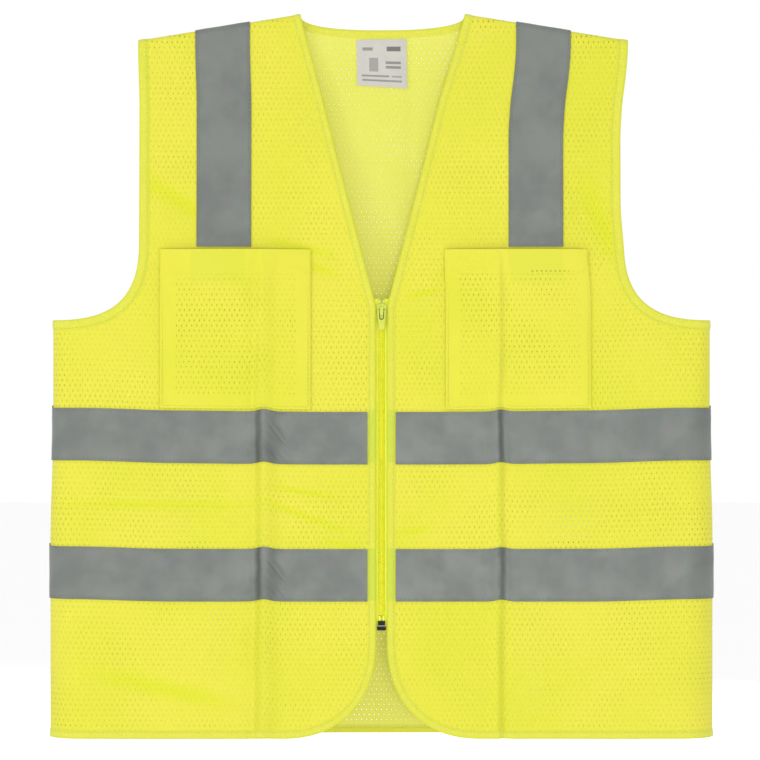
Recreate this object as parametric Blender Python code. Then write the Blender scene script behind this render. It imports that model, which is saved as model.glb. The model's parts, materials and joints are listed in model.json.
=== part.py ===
"""High visibility mesh vest with reflective tapes, a separating zip and two chest pockets.

Metres, +Z up. +X is the wearer's left and the front faces -Y. The origin is on the centre line,
between front and back, at the middle height of the shoulder line, where a hanger or a pair of
shoulders carries the vest.

All cloth lies on one form, a convex solid of flat planes that is slim at the shoulders and deeper
at the hem. A layer of cloth is the space between two offsets of that form, cut to its outline as
seen from the front. The zip and its hardware lie in the frame of the leaning front plane.
"""

import math

import bmesh
import bpy
from mathutils import Vector

# The outline as seen from the front, for the wearer's left half
NECK_X = 0.0739
NECK_Z = 0.012
SHOULDER_X = 0.2222
SHOULDER_Z = -0.012
ARMHOLE_BEND_Z = -0.1925
ARMHOLE_POWER = 2.7
SIDE_X = 0.302
SIDE_TOP_Z = -0.2695
HEM_Z = -0.6514
BACK_NECK_DROP = 0.0145
BACK_NECK_POWER = 2.5
V_BOTTOM_Z = -0.255
FRONT_EDGE_X = 0.005
CORNER_TOP_Z = -0.560
CORNER_X = 0.092
CORNER_POWER = 2.3
PAST = 0.03  # how far an outline runs past the form, which then trims it

# The form's depth: half of it at the neck points and at the hem, and how its sides are rounded
TOP_HALF_DEPTH = 0.0022
HEM_HALF_DEPTH = 0.026
SIDE_HALF_DEPTH = 0.002
SIDE_SLOPE = 1.2
CHAMFER_SHARE = 0.82
CHAMFER_MIX = 0.5

# Layers, as distances out from the form
GAP = 0.0003
PANEL = 0.0009
BINDING_INSIDE = -0.00045
BINDING_OUTSIDE = 0.00135
TAPE = 0.0005
TAPE_INSIDE = PANEL + GAP
TAPE_OUTSIDE = TAPE_INSIDE + TAPE
LABEL = 0.0004

# Trims
EDGE_BINDING = 0.008
ARMHOLE_BINDING = 0.010
TAPE_WIDTH = 0.050
SHOULDER_TAPE_X = 0.1445
SHOULDER_TAPE_FRONT_Z = -0.200
UPPER_WAIST_Z = -0.3728
LOWER_WAIST_Z = -0.4992
LABEL_WIDTH = 0.046
LABEL_HEIGHT = 0.042
SEAM = 0.0008
SEAM_ALLOWANCE = 0.008

# Pockets: patches sewn down at both sides and the bottom, puffed out, open at the top
POCKET_INNER_X = 0.0598
POCKET_OUTER_X = 0.1965
POCKET_TOP_Z = -0.2025
POCKET_PUFF = 0.0085
POCKET_EDGE = 0.0021
POCKET_SLOPE = 0.33
POCKET_CLOTH = 0.0009

# The line along which each front edge folds open, and its axis's distance out from the form
FOLD_X = 0.0585
FOLD_OUT = TAPE_OUTSIDE + GAP

# Zip
ZIP_TOP_Z = -0.250
ZIP_BOTTOM_Z = -0.5535
ZIP_TAPE_EDGE_X = 0.016
ZIP_TAPE_BACK = -0.0014
ZIP_TAPE_FRONT = -0.0008
COIL_INNER_X = 0.0007
COIL_OUTER_X = 0.0029
COIL_BACK = -0.0019
COIL_FRONT = 0.0003
STOP_TOP_Z = -0.2510
STOP_BOTTOM_Z = -0.2545
COIL_BOTTOM_Z = -0.5395
PIN_INNER_X = 0.0009
PIN_OUTER_X = 0.0025
PIN_BACK = -0.0016
PIN_FRONT = 0.0
PIN_BOTTOM_Z = -0.5505
BOX_TOP_Z = -0.5440
BOX_BOTTOM_Z = -0.5528
BOX_HALF_WIDTH = 0.0041
BOX_STEP_Z = -0.5486
BOX_NECK_HALF_WIDTH = 0.0033
BOX_BACK = -0.0030
BOX_FRONT = 0.0014
CLEARANCE = 0.0004

# Slider and pull
SLIDER_TOP_Z = -0.2550
SLIDER_LENGTH = 0.0140
SLIDER_TOP_WIDTH = 0.0092
SLIDER_BOTTOM_WIDTH = 0.0078
SLIDER_BACK = -0.0033
SLIDER_FRONT = 0.0016
CAVITY_BACK = -0.0023
CAVITY_FRONT = 0.0006
POST_WIDTH = 0.0008
POST_LENGTH = 0.0045
CROWN_WIDTH = 0.0030
CROWN_LENGTH = 0.0076
CROWN_FRONT = 0.0047
CROWN_BAR = 0.0009
PIVOT_BELOW_TOP = 0.0062
PIVOT_OUT = 0.0028
PULL_THICKNESS = 0.0010
PULL_HEAD_WIDTH = 0.0082
PULL_TIP_WIDTH = 0.0048
PULL_LENGTH = 0.0172
PULL_BAR = 0.0005
PULL_WINDOW_WIDTH = 0.0046
PULL_WINDOW_LENGTH = 0.0078

LEAN = (HEM_HALF_DEPTH - TOP_HALF_DEPTH) / (NECK_Z - HEM_Z)
LEAN_LENGTH = math.hypot(1, LEAN)
ROOF_SLOPE = (NECK_Z - SHOULDER_Z) / (SHOULDER_X - NECK_X)
FORM_X = SIDE_X - PANEL
SIDES = {"right": -1, "left": 1}
FRONT, BACK = -1, 1
REACH = 0.06

MATERIALS = {
    "mesh_cloth": ((0.80, 0.83, 0.06), 0.85, 0.0),
    "pocket_cloth": ((0.78, 0.80, 0.07), 0.85, 0.0),
    "binding": ((0.80, 0.84, 0.12), 0.7, 0.0),
    "reflective_tape": ((0.26, 0.28, 0.26), 0.45, 0.3),
    "zip_tape": ((0.72, 0.76, 0.04), 0.8, 0.0),
    "zip_coil": ((0.74, 0.80, 0.06), 0.45, 0.0),
    "painted_metal": ((0.62, 0.74, 0.05), 0.35, 0.6),
    "black_plastic": ((0.02, 0.02, 0.02), 0.4, 0.0),
    "label_cloth": ((0.82, 0.82, 0.80), 0.6, 0.0),
}

cutter_forms = {}


def clear_scene():
    for obj in list(bpy.data.objects):
        bpy.data.objects.remove(obj, do_unlink=True)


def new_collection(name):
    collection = bpy.data.collections.new(name)
    bpy.context.scene.collection.children.link(collection)
    return collection


def make_material(name):
    colour, roughness, metallic = MATERIALS[name]
    material = bpy.data.materials.new(name)
    material.use_nodes = True
    shader = material.node_tree.nodes["Principled BSDF"]
    shader.inputs["Base Color"].default_value = (*colour, 1)
    shader.inputs["Roughness"].default_value = roughness
    shader.inputs["Metallic"].default_value = metallic
    return material


def mesh_object(name, shape, collection):
    """A new object from a bmesh, which is freed."""
    bmesh.ops.recalc_face_normals(shape, faces=shape.faces)
    mesh = bpy.data.meshes.new(name)
    shape.to_mesh(mesh)
    shape.free()
    obj = bpy.data.objects.new(name, mesh)
    collection.objects.link(obj)
    return obj


def block(name, low, high, collection=None):
    """A box between two corners."""
    shape = bmesh.new()
    bmesh.ops.create_cube(shape, size=1)
    low, high = Vector(low), Vector(high)
    bmesh.ops.scale(shape, vec=high - low, verts=shape.verts)
    bmesh.ops.translate(shape, vec=(low + high) / 2, verts=shape.verts)
    return mesh_object(name, shape, collection or PARTS)


def prism(name, outline, low_y, high_y, collection=None):
    """A flat outline in X and Z, given depth along Y from low_y to high_y."""
    curve = bpy.data.curves.new(name, "CURVE")
    curve.dimensions = "2D"
    curve.fill_mode = "BOTH"
    curve.extrude = (high_y - low_y) / 2
    spline = curve.splines.new("POLY")
    spline.points.add(len(outline) - 1)
    for point, (x, z) in zip(spline.points, outline):
        point.co = (x, z, 0, 1)
    spline.use_cyclic_u = True
    drawn = bpy.data.objects.new(name, curve)
    PARTS.objects.link(drawn)
    graph = bpy.context.evaluated_depsgraph_get()
    mesh = bpy.data.meshes.new_from_object(drawn.evaluated_get(graph))
    bpy.data.objects.remove(drawn, do_unlink=True)
    shape = bmesh.new()
    shape.from_mesh(mesh)
    bpy.data.meshes.remove(mesh)
    bmesh.ops.remove_doubles(shape, verts=shape.verts, dist=1e-6)
    for vertex in shape.verts:
        x, z, depth = vertex.co
        vertex.co = (x, (low_y + high_y) / 2 - depth, z)
    return mesh_object(name, shape, collection or PARTS)


def as_cutter(obj):
    obj.hide_render = True
    obj.display_type = "WIRE"
    return obj


def cut(obj, operation, cutter):
    modifier = obj.modifiers.new(f"{operation.lower()} {cutter.name}", "BOOLEAN")
    modifier.operation = operation
    modifier.object = cutter


def form_planes():
    """The form's planes: a point on each, and its outward normal."""
    planes = []
    for depth in (FRONT, BACK):
        planes.append(((0, depth * TOP_HALF_DEPTH, NECK_Z), (0, depth, LEAN)))
        for side in SIDES.values():
            planes.append(((side * FORM_X, depth * SIDE_HALF_DEPTH, 0), (side * SIDE_SLOPE, depth, 0)))
            reach = CHAMFER_MIX * TOP_HALF_DEPTH + (1 - CHAMFER_MIX) * SIDE_HALF_DEPTH
            tilt = (
                side * CHAMFER_SHARE * (1 - CHAMFER_MIX) * SIDE_SLOPE,
                depth,
                CHAMFER_SHARE * CHAMFER_MIX * LEAN,
            )
            planes.append(((side * FORM_X, depth * CHAMFER_SHARE * reach, NECK_Z), tilt))
    for side in SIDES.values():
        planes.append(((side * FORM_X, 0, 0), (side, 0, 0)))
        planes.append(((side * NECK_X, 0, NECK_Z - PANEL), (side * ROOF_SLOPE, 0, 1)))
    return planes


def form(offset):
    """A cutter: the form, with its planes moved out by offset."""
    name = f"form_{offset * 1e6:.0f}"
    if name not in cutter_forms:
        shape = bmesh.new()
        bmesh.ops.create_cube(shape, size=2)
        for place, normal in form_planes():
            outward = Vector(normal).normalized()
            geometry = shape.verts[:] + shape.edges[:] + shape.faces[:]
            bmesh.ops.bisect_plane(
                shape,
                geom=geometry,
                plane_co=Vector(place) + outward * offset,
                plane_no=outward,
                clear_outer=True,
            )
            bmesh.ops.holes_fill(shape, edges=[edge for edge in shape.edges if edge.is_boundary])
        cutter_forms[name] = as_cutter(mesh_object(name, shape, CUTTERS))
    return cutter_forms[name]


def as_layer(obj, inside, outside):
    """Trims a blank to the layer between two offsets of the form."""
    cut(obj, "INTERSECT", form(outside))
    cut(obj, "DIFFERENCE", form(inside))
    return obj


def arc(centre, radii, power, start, end, steps=14):
    """Points round a superellipse, from one angle to another, in degrees."""
    points = []
    for step in range(steps + 1):
        angle = math.radians(start + (end - start) * step / steps)
        across = math.copysign(abs(math.cos(angle)) ** (2 / power), math.cos(angle))
        up = math.copysign(abs(math.sin(angle)) ** (2 / power), math.sin(angle))
        points.append((centre[0] + radii[0] * across, centre[1] + radii[1] * up))
    return points


def moved_left(line, distance):
    """An open line moved to its left as it runs, with mitred corners."""
    points = [Vector(point) for point in line]
    moved = []
    for index, point in enumerate(points):
        before = points[max(index - 1, 0)]
        after = points[min(index + 1, len(points) - 1)]
        first = (point - before) if index else (after - point)
        last = (after - point) if index < len(points) - 1 else (point - before)
        normals = [Vector((-way.y, way.x)).normalized() for way in (first, last)]
        mitre = (normals[0] + normals[1]) / (1 + normals[0].dot(normals[1]))
        moved.append(tuple(point + mitre * distance))
    return moved


def mirrored(line, side):
    return [(side * x, z) for x, z in line]


def strip(line, width):
    """The closed outline of a strip along the left of a line."""
    return line + moved_left(line, width)[::-1]


def front_line():
    """Down the V, the front edge and the rounded corner, then out along the hem."""
    slant = (NECK_X - FRONT_EDGE_X) / (NECK_Z - V_BOTTOM_Z)
    corner = arc(
        (CORNER_X, CORNER_TOP_Z),
        (CORNER_X - FRONT_EDGE_X, CORNER_TOP_Z - HEM_Z),
        CORNER_POWER,
        180,
        270,
    )
    top = (NECK_X + slant * PAST, NECK_Z + PAST)
    return [top, (FRONT_EDGE_X, V_BOTTOM_Z), *corner, (SIDE_X + PAST, HEM_Z)]


def armhole_line():
    """In from the side seam, round the armhole and up to the shoulder."""
    bend = arc(
        (SIDE_X, ARMHOLE_BEND_Z),
        (SIDE_X - SHOULDER_X, ARMHOLE_BEND_Z - SIDE_TOP_Z),
        ARMHOLE_POWER,
        270,
        180,
    )
    return [(SIDE_X + PAST, SIDE_TOP_Z), *bend, (SHOULDER_X, PAST)]


def back_neck_line():
    """Round the back of the neck, from the wearer's left shoulder to the right one."""
    dip = arc((0, NECK_Z), (NECK_X, BACK_NECK_DROP), BACK_NECK_POWER, 0, -180, 24)
    return [(NECK_X, NECK_Z + PAST), *dip, (-NECK_X, NECK_Z + PAST)]


def half_depths(depth):
    """The Y range of one half of the vest, front or back."""
    near, far = depth * GAP / 2, depth * REACH
    return min(near, far), max(near, far)


def finish(obj, material, joint=None):
    """Gives a piece its material and, if it moves, its parent on the joint's axis."""
    obj.data.materials.clear()
    obj.data.materials.append(LOOKS[material])
    if joint:
        obj.parent = joint
        obj.matrix_parent_inverse = joint.matrix_world.inverted()
    return obj


def cloth(name, outline, depth, layers, material, joint=None, keep=None):
    """A piece of cloth on the form: its outline, which half, its two offsets and what it keeps."""
    obj = as_layer(prism(name, outline, *half_depths(depth)), *layers)
    if keep:
        cut(obj, "INTERSECT", keep)
    return finish(obj, material, joint)


def rectangle(x_range, z_range):
    (left, right), (low, high) = x_range, z_range
    return [(left, low), (right, low), (right, high), (left, high)]


def fold_keepers(side):
    """Cutters that keep what is inboard and outboard of a fold line."""
    ranges = {"inboard": (0, FOLD_X - GAP / 2), "outboard": (FOLD_X + GAP / 2, SIDE_X + 2 * PAST)}
    keepers = []
    for name, reach in ranges.items():
        low, high = sorted(side * x for x in reach)
        keepers.append(
            as_cutter(block(f"{name}_{side}", (low, -2 * REACH, -1), (high, 2 * REACH, 1), CUTTERS))
        )
    return keepers


def front_half(word, side, joint):
    """One front: its panel in two pieces that meet at the fold line, its bindings and tapes."""
    inboard, outboard = fold_keepers(side)
    panel_layers = (0, PANEL)
    binding_layers = (BINDING_INSIDE, BINDING_OUTSIDE)
    tape_layers = (TAPE_INSIDE, TAPE_OUTSIDE)
    panel = mirrored(
        moved_left(front_line(), EDGE_BINDING) + moved_left(armhole_line(), ARMHOLE_BINDING), side
    )
    cloth(f"{word}_front_panel", panel, FRONT, panel_layers, "mesh_cloth", keep=outboard)
    cloth(f"{word}_front_edge_panel", panel, FRONT, panel_layers, "mesh_cloth", joint, inboard)

    edge = mirrored(strip(front_line(), EDGE_BINDING - GAP), side)
    cloth(f"{word}_front_edge_binding", edge, FRONT, binding_layers, "binding", joint, inboard)
    middle_z = (V_BOTTOM_Z + CORNER_TOP_Z) / 2
    for name, z_range in (("neck", (middle_z, 1)), ("front_hem", (-1, middle_z))):
        low, high = sorted((side * (FOLD_X + GAP / 2), side * (SIDE_X + 2 * PAST)))
        corners = (low, -2 * REACH, z_range[0]), (high, 2 * REACH, z_range[1])
        keep = as_cutter(block(f"{name}_{side}", *corners, CUTTERS))
        cloth(f"{word}_{name}_binding", edge, FRONT, binding_layers, "binding", keep=keep)

    for height, name in ((UPPER_WAIST_Z, "upper"), (LOWER_WAIST_Z, "lower")):
        z_range = (height - TAPE_WIDTH / 2, height + TAPE_WIDTH / 2)
        end = (FRONT_EDGE_X + EDGE_BINDING, FOLD_X - GAP / 2)
        run = (FOLD_X + GAP / 2, SIDE_X + PAST)
        for label, x_range, hinge in (("tape_end", end, joint), ("waist_tape", run, None)):
            outline = mirrored(rectangle(x_range, z_range), side)
            cloth(f"{word}_{name}_{label}", outline, FRONT, tape_layers, "reflective_tape", hinge)


def shoulder_and_armhole(word, side):
    """The pieces that a front and the back both have at one shoulder and armhole."""
    edge = mirrored(strip(armhole_line(), ARMHOLE_BINDING - GAP), side)
    back_end = UPPER_WAIST_Z + TAPE_WIDTH / 2 + GAP
    for name, depth, low in (("front", FRONT, SHOULDER_TAPE_FRONT_Z), ("back", BACK, back_end)):
        layers = (BINDING_INSIDE, BINDING_OUTSIDE)
        cloth(f"{word}_armhole_binding_{name}", edge, depth, layers, "binding")
        x_range = (SHOULDER_TAPE_X - TAPE_WIDTH / 2, SHOULDER_TAPE_X + TAPE_WIDTH / 2)
        outline = mirrored(rectangle(x_range, (low, PAST)), side)
        layers = (TAPE_INSIDE, TAPE_OUTSIDE)
        cloth(f"{word}_shoulder_tape_{name}", outline, depth, layers, "reflective_tape")


def seams(word, side):
    """The seam allowances inside one shoulder and one side."""
    start, end = NECK_X + EDGE_BINDING + GAP, SHOULDER_X - ARMHOLE_BINDING - GAP
    under = NECK_Z - PANEL - GAP
    top = [(x, under - ROOF_SLOPE * (x - NECK_X) - GAP) for x in (start, end)]
    bottom = [(x, z - SEAM_ALLOWANCE) for x, z in top[::-1]]
    shoulder = prism(f"{word}_shoulder_seam", mirrored(top + bottom, side), -SEAM / 2, SEAM / 2)
    finish(shoulder, "binding")
    low, high = sorted((side * (FORM_X - GAP), side * (FORM_X - GAP - SEAM_ALLOWANCE)))
    z_range = HEM_Z + EDGE_BINDING + GAP, SIDE_TOP_Z - ARMHOLE_BINDING - GAP
    side_seam = block(
        f"{word}_side_seam", (low, -SEAM / 2, z_range[0]), (high, SEAM / 2, z_range[1])
    )
    finish(side_seam, "binding")


def back():
    """The back panel with its bindings and tapes, and the label inside the neck."""
    armhole = moved_left(armhole_line(), ARMHOLE_BINDING)
    hem_top = HEM_Z + EDGE_BINDING
    past_side = SIDE_X + PAST
    panel = (
        moved_left(back_neck_line(), EDGE_BINDING)
        + mirrored(armhole, -1)[::-1]
        + [(-past_side, hem_top), (past_side, hem_top)]
        + armhole
    )
    cloth("back_panel", panel, BACK, (0, PANEL), "mesh_cloth")
    layers = (BINDING_INSIDE, BINDING_OUTSIDE)
    neck = strip(back_neck_line(), EDGE_BINDING - GAP)
    cloth("back_neck_binding", neck, BACK, layers, "binding")
    hem = rectangle((-past_side, past_side), (HEM_Z, hem_top - GAP))
    cloth("back_hem_binding", hem, BACK, layers, "binding")
    for height, name in ((UPPER_WAIST_Z, "upper"), (LOWER_WAIST_Z, "lower")):
        z_range = (height - TAPE_WIDTH / 2, height + TAPE_WIDTH / 2)
        outline = rectangle((-past_side, past_side), z_range)
        layers = (TAPE_INSIDE, TAPE_OUTSIDE)
        cloth(f"back_{name}_waist_tape", outline, BACK, layers, "reflective_tape")
    label_top = NECK_Z - BACK_NECK_DROP - EDGE_BINDING - GAP
    outline = rectangle(
        (-LABEL_WIDTH / 2, LABEL_WIDTH / 2), (label_top - LABEL_HEIGHT, label_top)
    )
    cloth("care_label", outline, BACK, (-GAP - LABEL, -GAP), "label_cloth")


def front_point(x, z, out):
    """The place at this x and z, this far out from the form's front plane."""
    depth = TOP_HALF_DEPTH + LEAN * (NECK_Z - z)
    return Vector((x, -depth - out * LEAN_LENGTH, z))


def pocket_solid(name, side, edge, puff, z_range, base, collection):
    """A low mound on the front plane with sloping sides and bottom and a flat top end."""
    low_x, high_x = sorted((side * POCKET_INNER_X, side * POCKET_OUTER_X))
    shape = bmesh.new()
    bmesh.ops.create_cube(shape, size=2)
    outward = Vector((0, -1, LEAN)).normalized()
    bottom_z = UPPER_WAIST_Z + TAPE_WIDTH / 2 + GAP
    planes = [
        (front_point(0, 0, puff), outward),
        (front_point(0, 0, base), -outward),
        (front_point(low_x, 0, edge), outward - POCKET_SLOPE * Vector((1, 0, 0))),
        (front_point(high_x, 0, edge), outward + POCKET_SLOPE * Vector((1, 0, 0))),
        (front_point(0, bottom_z, edge), outward - POCKET_SLOPE * Vector((0, 0, 1))),
        (Vector((low_x, 0, 0)), Vector((-1, 0, 0))),
        (Vector((high_x, 0, 0)), Vector((1, 0, 0))),
        (Vector((0, 0, z_range[0])), Vector((0, 0, -1))),
        (Vector((0, 0, z_range[1])), Vector((0, 0, 1))),
    ]
    for place, normal in planes:
        geometry = shape.verts[:] + shape.edges[:] + shape.faces[:]
        bmesh.ops.bisect_plane(shape, geom=geometry, plane_co=place, plane_no=normal, clear_outer=True)
        bmesh.ops.holes_fill(shape, edges=[edge for edge in shape.edges if edge.is_boundary])
    return mesh_object(name, shape, collection)


def pocket(word, side):
    """A patch pocket: a mound of cloth, hollow behind and open at the top."""
    bottom_z = UPPER_WAIST_Z + TAPE_WIDTH / 2 + GAP
    z_range = (bottom_z, POCKET_TOP_Z)
    obj = pocket_solid(
        f"{word}_chest_pocket", side, POCKET_EDGE, POCKET_PUFF, z_range, TAPE_INSIDE, PARTS
    )
    hollow = pocket_solid(
        f"pocket_hollow_{side}",
        side,
        POCKET_EDGE - 1.6 * POCKET_CLOTH,
        POCKET_PUFF - POCKET_CLOTH,
        (bottom_z, POCKET_TOP_Z + PAST),
        0,
        CUTTERS,
    )
    cut(obj, "DIFFERENCE", as_cutter(hollow))
    finish(obj, "pocket_cloth")


def axis_empty(name, place, parent=None):
    """An empty on a joint's axis, leaning with the front plane: its Y points into the vest."""
    empty = bpy.data.objects.new(name, None)
    empty.empty_display_size = 0.02
    PARTS.objects.link(empty)
    empty.location = place
    empty.rotation_euler = (-math.atan(LEAN), 0, 0)
    bpy.context.view_layer.update()
    if parent:
        empty.parent = parent
        empty.matrix_parent_inverse = parent.matrix_world.inverted()
        bpy.context.view_layer.update()
    return empty


def on_front(obj, material, joint):
    """Turns a piece made in the front plane's frame (x, minus out, height) into place."""
    obj.location = front_point(0, NECK_Z, 0)
    obj.rotation_euler = (-math.atan(LEAN), 0, 0)
    return finish(obj, material, joint)


def height(z):
    """A world z as a height in the front plane's frame."""
    return (z - NECK_Z) * LEAN_LENGTH


def front_block(name, x_range, out_range, z_range, collection=None):
    """A box in the front plane's frame."""
    low_x, high_x = sorted(x_range)
    low = (low_x, -out_range[1], height(z_range[0]))
    high = (high_x, -out_range[0], height(z_range[1]))
    return block(name, low, high, collection)


def on_front_as_cutter(obj):
    obj.location = front_point(0, NECK_Z, 0)
    obj.rotation_euler = (-math.atan(LEAN), 0, 0)
    return as_cutter(obj)


def front_cutter(name, x_range, out_range, z_range):
    return on_front_as_cutter(front_block(name, x_range, out_range, z_range, CUTTERS))


def zip_half(word, side, joint):
    """One side of the zip: its tape, coil, top stop and pin."""
    across = (side * (COIL_OUTER_X + GAP), side * ZIP_TAPE_EDGE_X)
    tape = front_block(
        f"{word}_zip_tape", across, (ZIP_TAPE_BACK, ZIP_TAPE_FRONT), (ZIP_BOTTOM_Z, ZIP_TOP_Z)
    )
    on_front(tape, "zip_tape", joint)
    across = (side * COIL_INNER_X, side * COIL_OUTER_X)
    thick = (COIL_BACK, COIL_FRONT)
    coil = front_block(f"{word}_zip_coil", across, thick, (COIL_BOTTOM_Z, STOP_BOTTOM_Z - GAP))
    on_front(coil, "zip_coil", joint)
    stop = front_block(f"{word}_top_stop", across, thick, (STOP_BOTTOM_Z, STOP_TOP_Z))
    on_front(stop, "painted_metal", joint)
    across = (side * PIN_INNER_X, side * PIN_OUTER_X)
    name = "retainer_pin" if word == "right" else "insertion_pin"
    pin = front_block(name, across, (PIN_BACK, PIN_FRONT), (PIN_BOTTOM_Z, COIL_BOTTOM_Z - GAP))
    on_front(pin, "black_plastic", joint)


def retainer_box(joint):
    """The box at the zip's foot, narrower above its step, with a socket for each pin."""
    box = front_block(
        "retainer_box",
        (-BOX_HALF_WIDTH, BOX_HALF_WIDTH),
        (BOX_BACK, BOX_FRONT),
        (BOX_BOTTOM_Z, BOX_TOP_Z),
    )
    for word, side in SIDES.items():
        socket = front_cutter(
            f"pin_socket_{word}",
            (side * (PIN_INNER_X - CLEARANCE), side * (PIN_OUTER_X + CLEARANCE)),
            (PIN_BACK - CLEARANCE, PIN_FRONT + CLEARANCE),
            (PIN_BOTTOM_Z - CLEARANCE, BOX_TOP_Z + CLEARANCE),
        )
        slot = front_cutter(
            f"tape_slot_{word}",
            (side * COIL_OUTER_X, side * 2 * BOX_HALF_WIDTH),
            (ZIP_TAPE_BACK - CLEARANCE, ZIP_TAPE_FRONT + CLEARANCE),
            (BOX_BOTTOM_Z - CLEARANCE, BOX_TOP_Z + CLEARANCE),
        )
        step = front_cutter(
            f"box_step_{word}",
            (side * BOX_NECK_HALF_WIDTH, side * 2 * BOX_HALF_WIDTH),
            (2 * BOX_BACK, 2 * BOX_FRONT),
            (BOX_STEP_Z, BOX_TOP_Z + CLEARANCE),
        )
        cut(box, "DIFFERENCE", socket)
        cut(box, "DIFFERENCE", slot)
        cut(box, "DIFFERENCE", step)
    on_front(box, "black_plastic", joint)


def slider(joint):
    """The zip slider: two plates on a post, with room for both coils, and a crown for the pull."""
    top, bottom = height(SLIDER_TOP_Z), height(SLIDER_TOP_Z - SLIDER_LENGTH)
    shoulder = top - POST_LENGTH
    half_top, half_bottom = SLIDER_TOP_WIDTH / 2, SLIDER_BOTTOM_WIDTH / 2
    half = [(0.6 * half_top, top), (half_top, top - 0.2 * POST_LENGTH), (half_top, shoulder)]
    half += [(half_bottom, bottom + 0.1 * SLIDER_LENGTH), (0.8 * half_bottom, bottom)]
    body = prism(
        "zip_slider", half + mirrored(half, -1)[::-1], -SLIDER_FRONT, -SLIDER_BACK
    )
    pivot_z = SLIDER_TOP_Z - PIVOT_BELOW_TOP
    crown_z = (pivot_z - CROWN_LENGTH / 2, pivot_z + CROWN_LENGTH / 2)
    half_crown = CROWN_WIDTH / 2
    crown = front_cutter(
        "crown", (-half_crown, half_crown), (SLIDER_FRONT - CROWN_BAR, CROWN_FRONT), crown_z
    )
    cut(body, "UNION", crown)
    window_z = (crown_z[0] + CROWN_BAR, crown_z[1] - CROWN_BAR)
    window_out = (SLIDER_FRONT, CROWN_FRONT - CROWN_BAR)
    window = front_cutter("crown_window", (-CROWN_WIDTH, CROWN_WIDTH), window_out, window_z)
    cut(body, "DIFFERENCE", window)
    low_z, high_z = SLIDER_TOP_Z - SLIDER_LENGTH - CLEARANCE, SLIDER_TOP_Z + CLEARANCE
    cavity = (CAVITY_BACK, CAVITY_FRONT)
    slot = (ZIP_TAPE_BACK - CLEARANCE, ZIP_TAPE_FRONT + CLEARANCE)
    post = POST_WIDTH / 2
    for side in SIDES.values():
        room = (side * post, side * (COIL_OUTER_X + CLEARANCE))
        cut(body, "DIFFERENCE", front_cutter(f"coil_room_{side}", room, cavity, (low_z, high_z)))
        way = (side * post, side * SLIDER_TOP_WIDTH)
        cut(body, "DIFFERENCE", front_cutter(f"tape_way_{side}", way, slot, (low_z, high_z)))
    below_post = front_cutter(
        "below_post", (-2 * post, 2 * post), cavity, (low_z, SLIDER_TOP_Z - POST_LENGTH)
    )
    cut(body, "DIFFERENCE", below_post)
    on_front(body, "painted_metal", joint)


def pull(joint):
    """The pull tab: a tongue that narrows to a rounded tip, whose window holds the crown."""
    pivot = height(SLIDER_TOP_Z - PIVOT_BELOW_TOP)
    half_head, half_tip, half_window = PULL_HEAD_WIDTH / 2, PULL_TIP_WIDTH / 2, PULL_WINDOW_WIDTH / 2
    tip = arc((0, pivot - PULL_LENGTH + half_tip), (half_tip, half_tip), 2, 0, -180, 10)
    head = [(-half_head, pivot + PULL_BAR), (half_head, pivot + PULL_BAR)]
    out = (PIVOT_OUT - PULL_THICKNESS / 2, PIVOT_OUT + PULL_THICKNESS / 2)
    tab = prism("zip_pull", head + tip, -out[1], -out[0])
    top = pivot - PULL_BAR
    foot = arc((0, top - PULL_WINDOW_LENGTH + half_window), (half_window, half_window), 2, 0, -180, 10)
    outline = [(-half_window, top), (half_window, top)] + foot
    window = prism("pull_window", outline, -CROWN_FRONT, 0, CUTTERS)
    cut(tab, "DIFFERENCE", on_front_as_cutter(window))
    on_front(tab, "painted_metal", joint)


def build():
    folds = {}
    for word, side in SIDES.items():
        place = front_point(side * FOLD_X, V_BOTTOM_Z, FOLD_OUT)
        folds[word] = axis_empty(f"{word}_front_fold_axis", place)
        front_half(word, side, folds[word])
        shoulder_and_armhole(word, side)
        seams(word, side)
        pocket(word, side)
        zip_half(word, side, folds[word])
    back()
    retainer_box(folds["right"])
    travel = axis_empty("zip_travel_axis", front_point(0, SLIDER_TOP_Z, 0), folds["right"])
    slider(travel)
    pivot = front_point(0, SLIDER_TOP_Z - PIVOT_BELOW_TOP, PIVOT_OUT)
    pull(axis_empty("pull_swing_axis", pivot, travel))


clear_scene()
PARTS = new_collection("high_visibility_vest")
CUTTERS = new_collection("cutters")
LOOKS = {name: make_material(name) for name in MATERIALS}
build()
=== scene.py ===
"""Looks of the high visibility vest: cloth, bindings, tapes, stitches, zip and their materials.

All cloth lies on one smooth body, given by two coordinates. u runs across the vest, from the
centre line round to the side seam, and v runs up it. A third number is the distance out from the
body. Every layer of cloth is placed with the same creases, so the layers never cross. Metres.
"""

import json
import math

import bmesh
import bpy
import numpy as np
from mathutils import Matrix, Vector
from mathutils.geometry import delaunay_2d_cdt


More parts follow.
